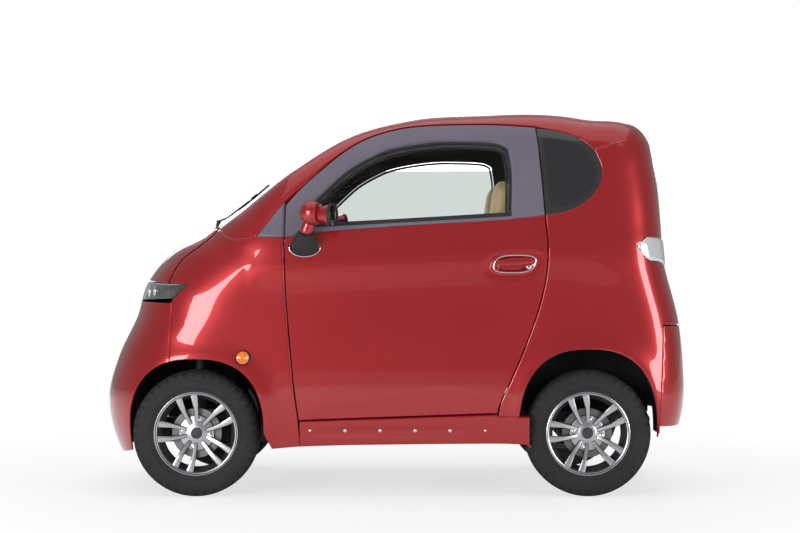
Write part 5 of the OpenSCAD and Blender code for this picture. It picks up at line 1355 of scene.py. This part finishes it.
pads = [puffed("seat_cushion", cushion, [side_seam(142)] + [across_x(x) for x in (50, 110, 170, 230, 290)], (0, 0, 1)),
        puffed("seat_backrest", back, [side_seam(138)] + [across_z(z) for z in (650, 720, 790, 860, 930, 1000)],
               (-1, 0, 0)),
        puffed("head_pad", head, [across_z(1180)], (-1, 0, 0))]
for thing in pads:
    name, shape = thing.name, thing.data
    shape.transform(Matrix.Translation((0, -0.27, 0)))
    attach(thing, "car_body")
    if name == "seat_cushion":
        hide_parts("seats")
    twin = bpy.data.objects.new(name + "_right", shape.copy())
    twin.data.transform(Matrix.Translation((0, 0.54, 0)))
    bpy.context.scene.collection.objects.link(twin)
    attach(twin, "car_body")
base = swept(stretched([[-10, 0, 466], [180, 0, 466], [400, 0, 474]], 12), oblong(388, 18, 32, 6))
hinge = swept(stretched([[398, 0, 480], [430, 0, 520], [446, 0, 600], [452, 0, 700]], 14), oblong(360, 16, 32, 6))
posts = [swept(stretched([[446, s * 70, 1060], [454, s * 70, 1120]], 6), oblong(12, 12, 16, 2)) for s in (-1, 1)]
base = together(base, hinge, *posts)
for name, y in (("seat_base_left", -270), ("seat_base_right", 270)):
    add_solid(name, (base[0] + [0, y, 0], base[1]), "car_body", black_plastic, bevel=1.2)
welts = []
for s in (-1, 1):
    welts.append(swept(stretched([[0, s * 142, 560], [120, s * 142, 563], [250, s * 142, 565], [340, s * 142, 568]],
                                 20), oblong(5, 4, 12, 2)))
    welts.append(swept(stretched([[352, s * 138, 600], [360, s * 138, 740], [374, s * 138, 880], [388, s * 136, 1010]],
                                 20), oblong(4, 5, 12, 2), up=(1, 0, 0)))
welts = together(*welts)
for name, y in (("seat_welts_left", -270), ("seat_welts_right", 270)):
    add_solid(name, (welts[0] + [0, y, 0], welts[1]), "car_body", welt_thread)


# ---- Dashboard and steering wheel
# A moulded tan dashboard with a black padded top and a hooded dial, and a three-spoke steering
# wheel in grained black on its column.
dash_tan, w = finish("tan_dashboard_plastic", Specular_IOR_Level=0.35)
noise(w, 14).blend((0.50, 0.36, 0.22), (0.58, 0.43, 0.27)).into("Base Color")
(0.55 + noise(w, 80) * 0.12).into("Roughness")
noise(w, 600, 2.0).bump(0.2, 0.0004).into("Normal")


def slice_body(profile, ys, sag):
    """A closed body whose side-view profile is carried across the car, drawn in at its ends."""
    p = np.asarray(profile, float)
    rows = []
    for y in ys:
        k = abs(y) / max(abs(ys[0]), abs(ys[-1]))
        centre = p.mean(0)
        q = centre + (p - centre) * (1 - 0.05 * k**8)
        q[:, 0] += sag * k**2 * (q[:, 0] > -500)
        rows.append(np.stack([q[:, 0], np.full(len(p), y), q[:, 1]], -1))
    m = len(p)
    faces = [[i * m + j, (i + 1) * m + j, (i + 1) * m + (j + 1) % m, i * m + (j + 1) % m] for i in range(len(ys) - 1)
             for j in range(m)]
    faces += [list(range(m))[::-1], [(len(ys) - 1) * m + j for j in range(m)]]
    return np.concatenate(rows), faces


low_line = arc([[-640, 726], [-520, 728], [-446, 734], [-410, 772], [-388, 836], [-380, 900], [-380, 944]], 30)
top_line = arc([[-380, 944], [-378, 966], [-396, 992], [-424, 1006]], 10)
shelf = arc([[-424, 1006], [-500, 1014], [-570, 1015], [-640, 1000]], 16)
ys = np.linspace(-496, 496, 63)
add_solid("dashboard_body", slice_body(np.concatenate([low_line, top_line[1:], [[-424, 990], [-640, 984]]]), ys, -22),
          "car_body", dash_tan, ["dashboard"], sharp=35)
add_solid("dashboard_top", slice_body(np.concatenate([shelf, [[-640, 986], [-424, 992]]]), ys, -22), "car_body",
          black_plastic, sharp=35)
slots = []
for y in (-430, -110, 110, 430):
    for k in range(4):
        slots.append(swept(stretched([[-382, y - 34, 930 - 11 * k], [-379, y, 930 - 11 * k],
                                      [-382, y + 34, 930 - 11 * k]], 9), oblong(8, 5, 12, 3)))
    slots.append(swept([[-385 + 3 * math.cos(a), y + 46 * math.cos(a), 913 + 30 * math.sin(a)]
                        for a in np.linspace(0, 2 * math.pi, 49)[:-1]],
                       oblong(5, 5, 10, 2), up=(1, 0, 0), closed=True))
glove = swept([[-388 - 0.12 * (900 - (830 + 55 * s)), 270 + 150 * c, 830 + 52 * s] 
               for c, s in oblong(2, 2, 64, 8)], oblong(3, 3, 8, 2), up=(1, 0, 0), closed=True)
add_solid("dashboard_vents", together(*slots, glove), "car_body", black_plastic)
hood_line_y = np.linspace(-400, -140, 27)
cowl_top = np.array([[-440, y, 1006 + 34 * math.sin(math.pi * (y + 400) / 260) ** 0.6] for y in hood_line_y])
binnacle = slab(np.stack([cowl_top + [x, 0, -abs(x) * 0.22] for x in np.linspace(48, -90, 15)]),
                np.stack([cowl_top + [x, 0, -abs(x) * 0.22 - 5] for x in np.linspace(48, -90, 15)]))
dial = turned([[0.1, 0], [70, 0], [72, 4], [66, 5], [64, 2.4], [0.1, 2.2]], (-416, -270, 980), (0.9, 0, 0.25), n=72)
add_solid("dial_hood", binnacle, "car_body", black_plastic, bevel=0.6)
add_solid("speed_dial", dial, "car_body", tinted, bevel=0.3)
TILT = math.radians(62)


def on_column(part):
    """A part drawn about the column's own axis, put in its place."""
    x, y, z = np.asarray(part[0], float).T
    return np.stack([x * math.cos(TILT) + z * math.sin(TILT) - 195, y - 270,
                     -x * math.sin(TILT) + z * math.cos(TILT) + 880], -1), part[1]


grip = turned([[161 + 12.6 * math.cos(a), 12.6 * math.sin(a)] for a in np.linspace(0, 2 * math.pi, 25)[:-1]], (0, 0, 0),
              n=120, closed=True)
arms = []
for a in (0, 90, 180):
    c, s = math.cos(math.radians(a)), math.sin(math.radians(a))
    line = [[c * r, s * r, -6 + 5 * math.sin((r - 26) / 128 * math.pi / 2) - 1] for r in np.linspace(26, 156, 14)]
    arms.append(swept(line, oblong(34, 9, 24, 3), sizes=np.stack([1 - 0.35 * np.sin(np.linspace(0, math.pi, 14)),
                                                                  np.ones(14)], -1)))
boss = turned([[0.1, 15], [20, 14.5], [33, 11], [39, 4], [39, -10], [34, -22], [22, -24], [0.1, -24]], (0, 0, 0), n=64)
add_solid("steering_grip", on_column(together(grip, *arms)), "steering_wheel", black_plastic, ["steering_wheel"],
          bevel=0.8)
add_solid("steering_boss", on_column(boss), "steering_wheel", lining_black, bevel=1.0)
column = turned([[0.1, -26], [24, -26], [26, -30], [26, -90], [25, -94], [25, -150], [20, -160], [20, -288],
                 [0.1, -288]], (0, 0, 0), n=48)
stalk = swept([[0, 24 + 4.2 * k, -52 + 1.1 * k] for k in range(20)], oblong(11, 9, 16, 3),
              sizes=[0.7 + 0.02 * k for k in range(20)], up=(1, 0, 0))
add_solid("steering_column", on_column(together(column, stalk)), "car_body", black_plastic, bevel=0.6)


# ---- Running gear and floor
# The drawn floor, frame, suspension, axle and knuckles in satin black and cast finishes, and the
# battery box in ribbed dark plastic. Their shape is the drawn one.
chassis_black, w = finish("satin_chassis_black", Specular_IOR_Level=0.4)
noise(w, 10, 3.0).blend((0.012, 0.012, 0.013), (0.03, 0.03, 0.032)).into("Base Color")
(0.42 + noise(w, 30) * 0.2).into("Roughness")
noise(w, 300, 3.0).bump(0.15, 0.0004).into("Normal")
cast_iron, w = finish("cast_iron_grey", Metallic=0.6)
noise(w, 40, 3.0).blend((0.05, 0.05, 0.052), (0.11, 0.11, 0.112)).into("Base Color")
(0.55 + noise(w, 90) * 0.2).into("Roughness")
noise(w, 260, 4.0).bump(0.3, 0.0006).into("Normal")
floor_carpet, w = finish("dark_floor_covering", Specular_IOR_Level=0.2)
noise(w, 80, 4.0).blend((0.018, 0.017, 0.016), (0.05, 0.047, 0.044)).into("Base Color")
(0.85 + noise(w, 300) * 0.1).into("Roughness")
noise(w, 1200, 2.0).bump(0.5, 0.0008).into("Normal")
box_plastic, w = finish("battery_box_plastic", Specular_IOR_Level=0.35)
noise(w, 25).blend((0.016, 0.016, 0.018), (0.035, 0.035, 0.038)).into("Base Color")
(0.5 + noise(w, 120) * 0.15).into("Roughness")
for name, look in (("floor_pan", floor_carpet), ("chassis_frame", chassis_black), ("battery_box", box_plastic),
                   ("front_suspension", chassis_black), ("rear_axle", cast_iron), ("knuckle_left", cast_iron),
                   ("knuckle_right", cast_iron)):
    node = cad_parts[name]
    for place in node.material_slots:
        place.material = look
    if not node.material_slots:
        node.data.materials.append(look)

screws = []
for x in (-330, -190, -50, 90, 230, 370):
    spot = on_side([[x, 268]])[0]
    seat = skin(spot[0], spot[1], 0.4)
    screws.append(turned([[0.1, 2.6], [3.0, 2.3], [5.2, 1.0], [5.6, 0], [7.0, -0.2], [7.0, -1.0], [0.1, -1.0]], seat,
                         (0, -1, -0.15), n=24))
screws = together(*screws)
add_solid("sill_screws", together(screws, mirrored(*screws)), "car_body", bright)


# ---- Sizes
# The box round every shown piece of the dressed car.
low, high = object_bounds()
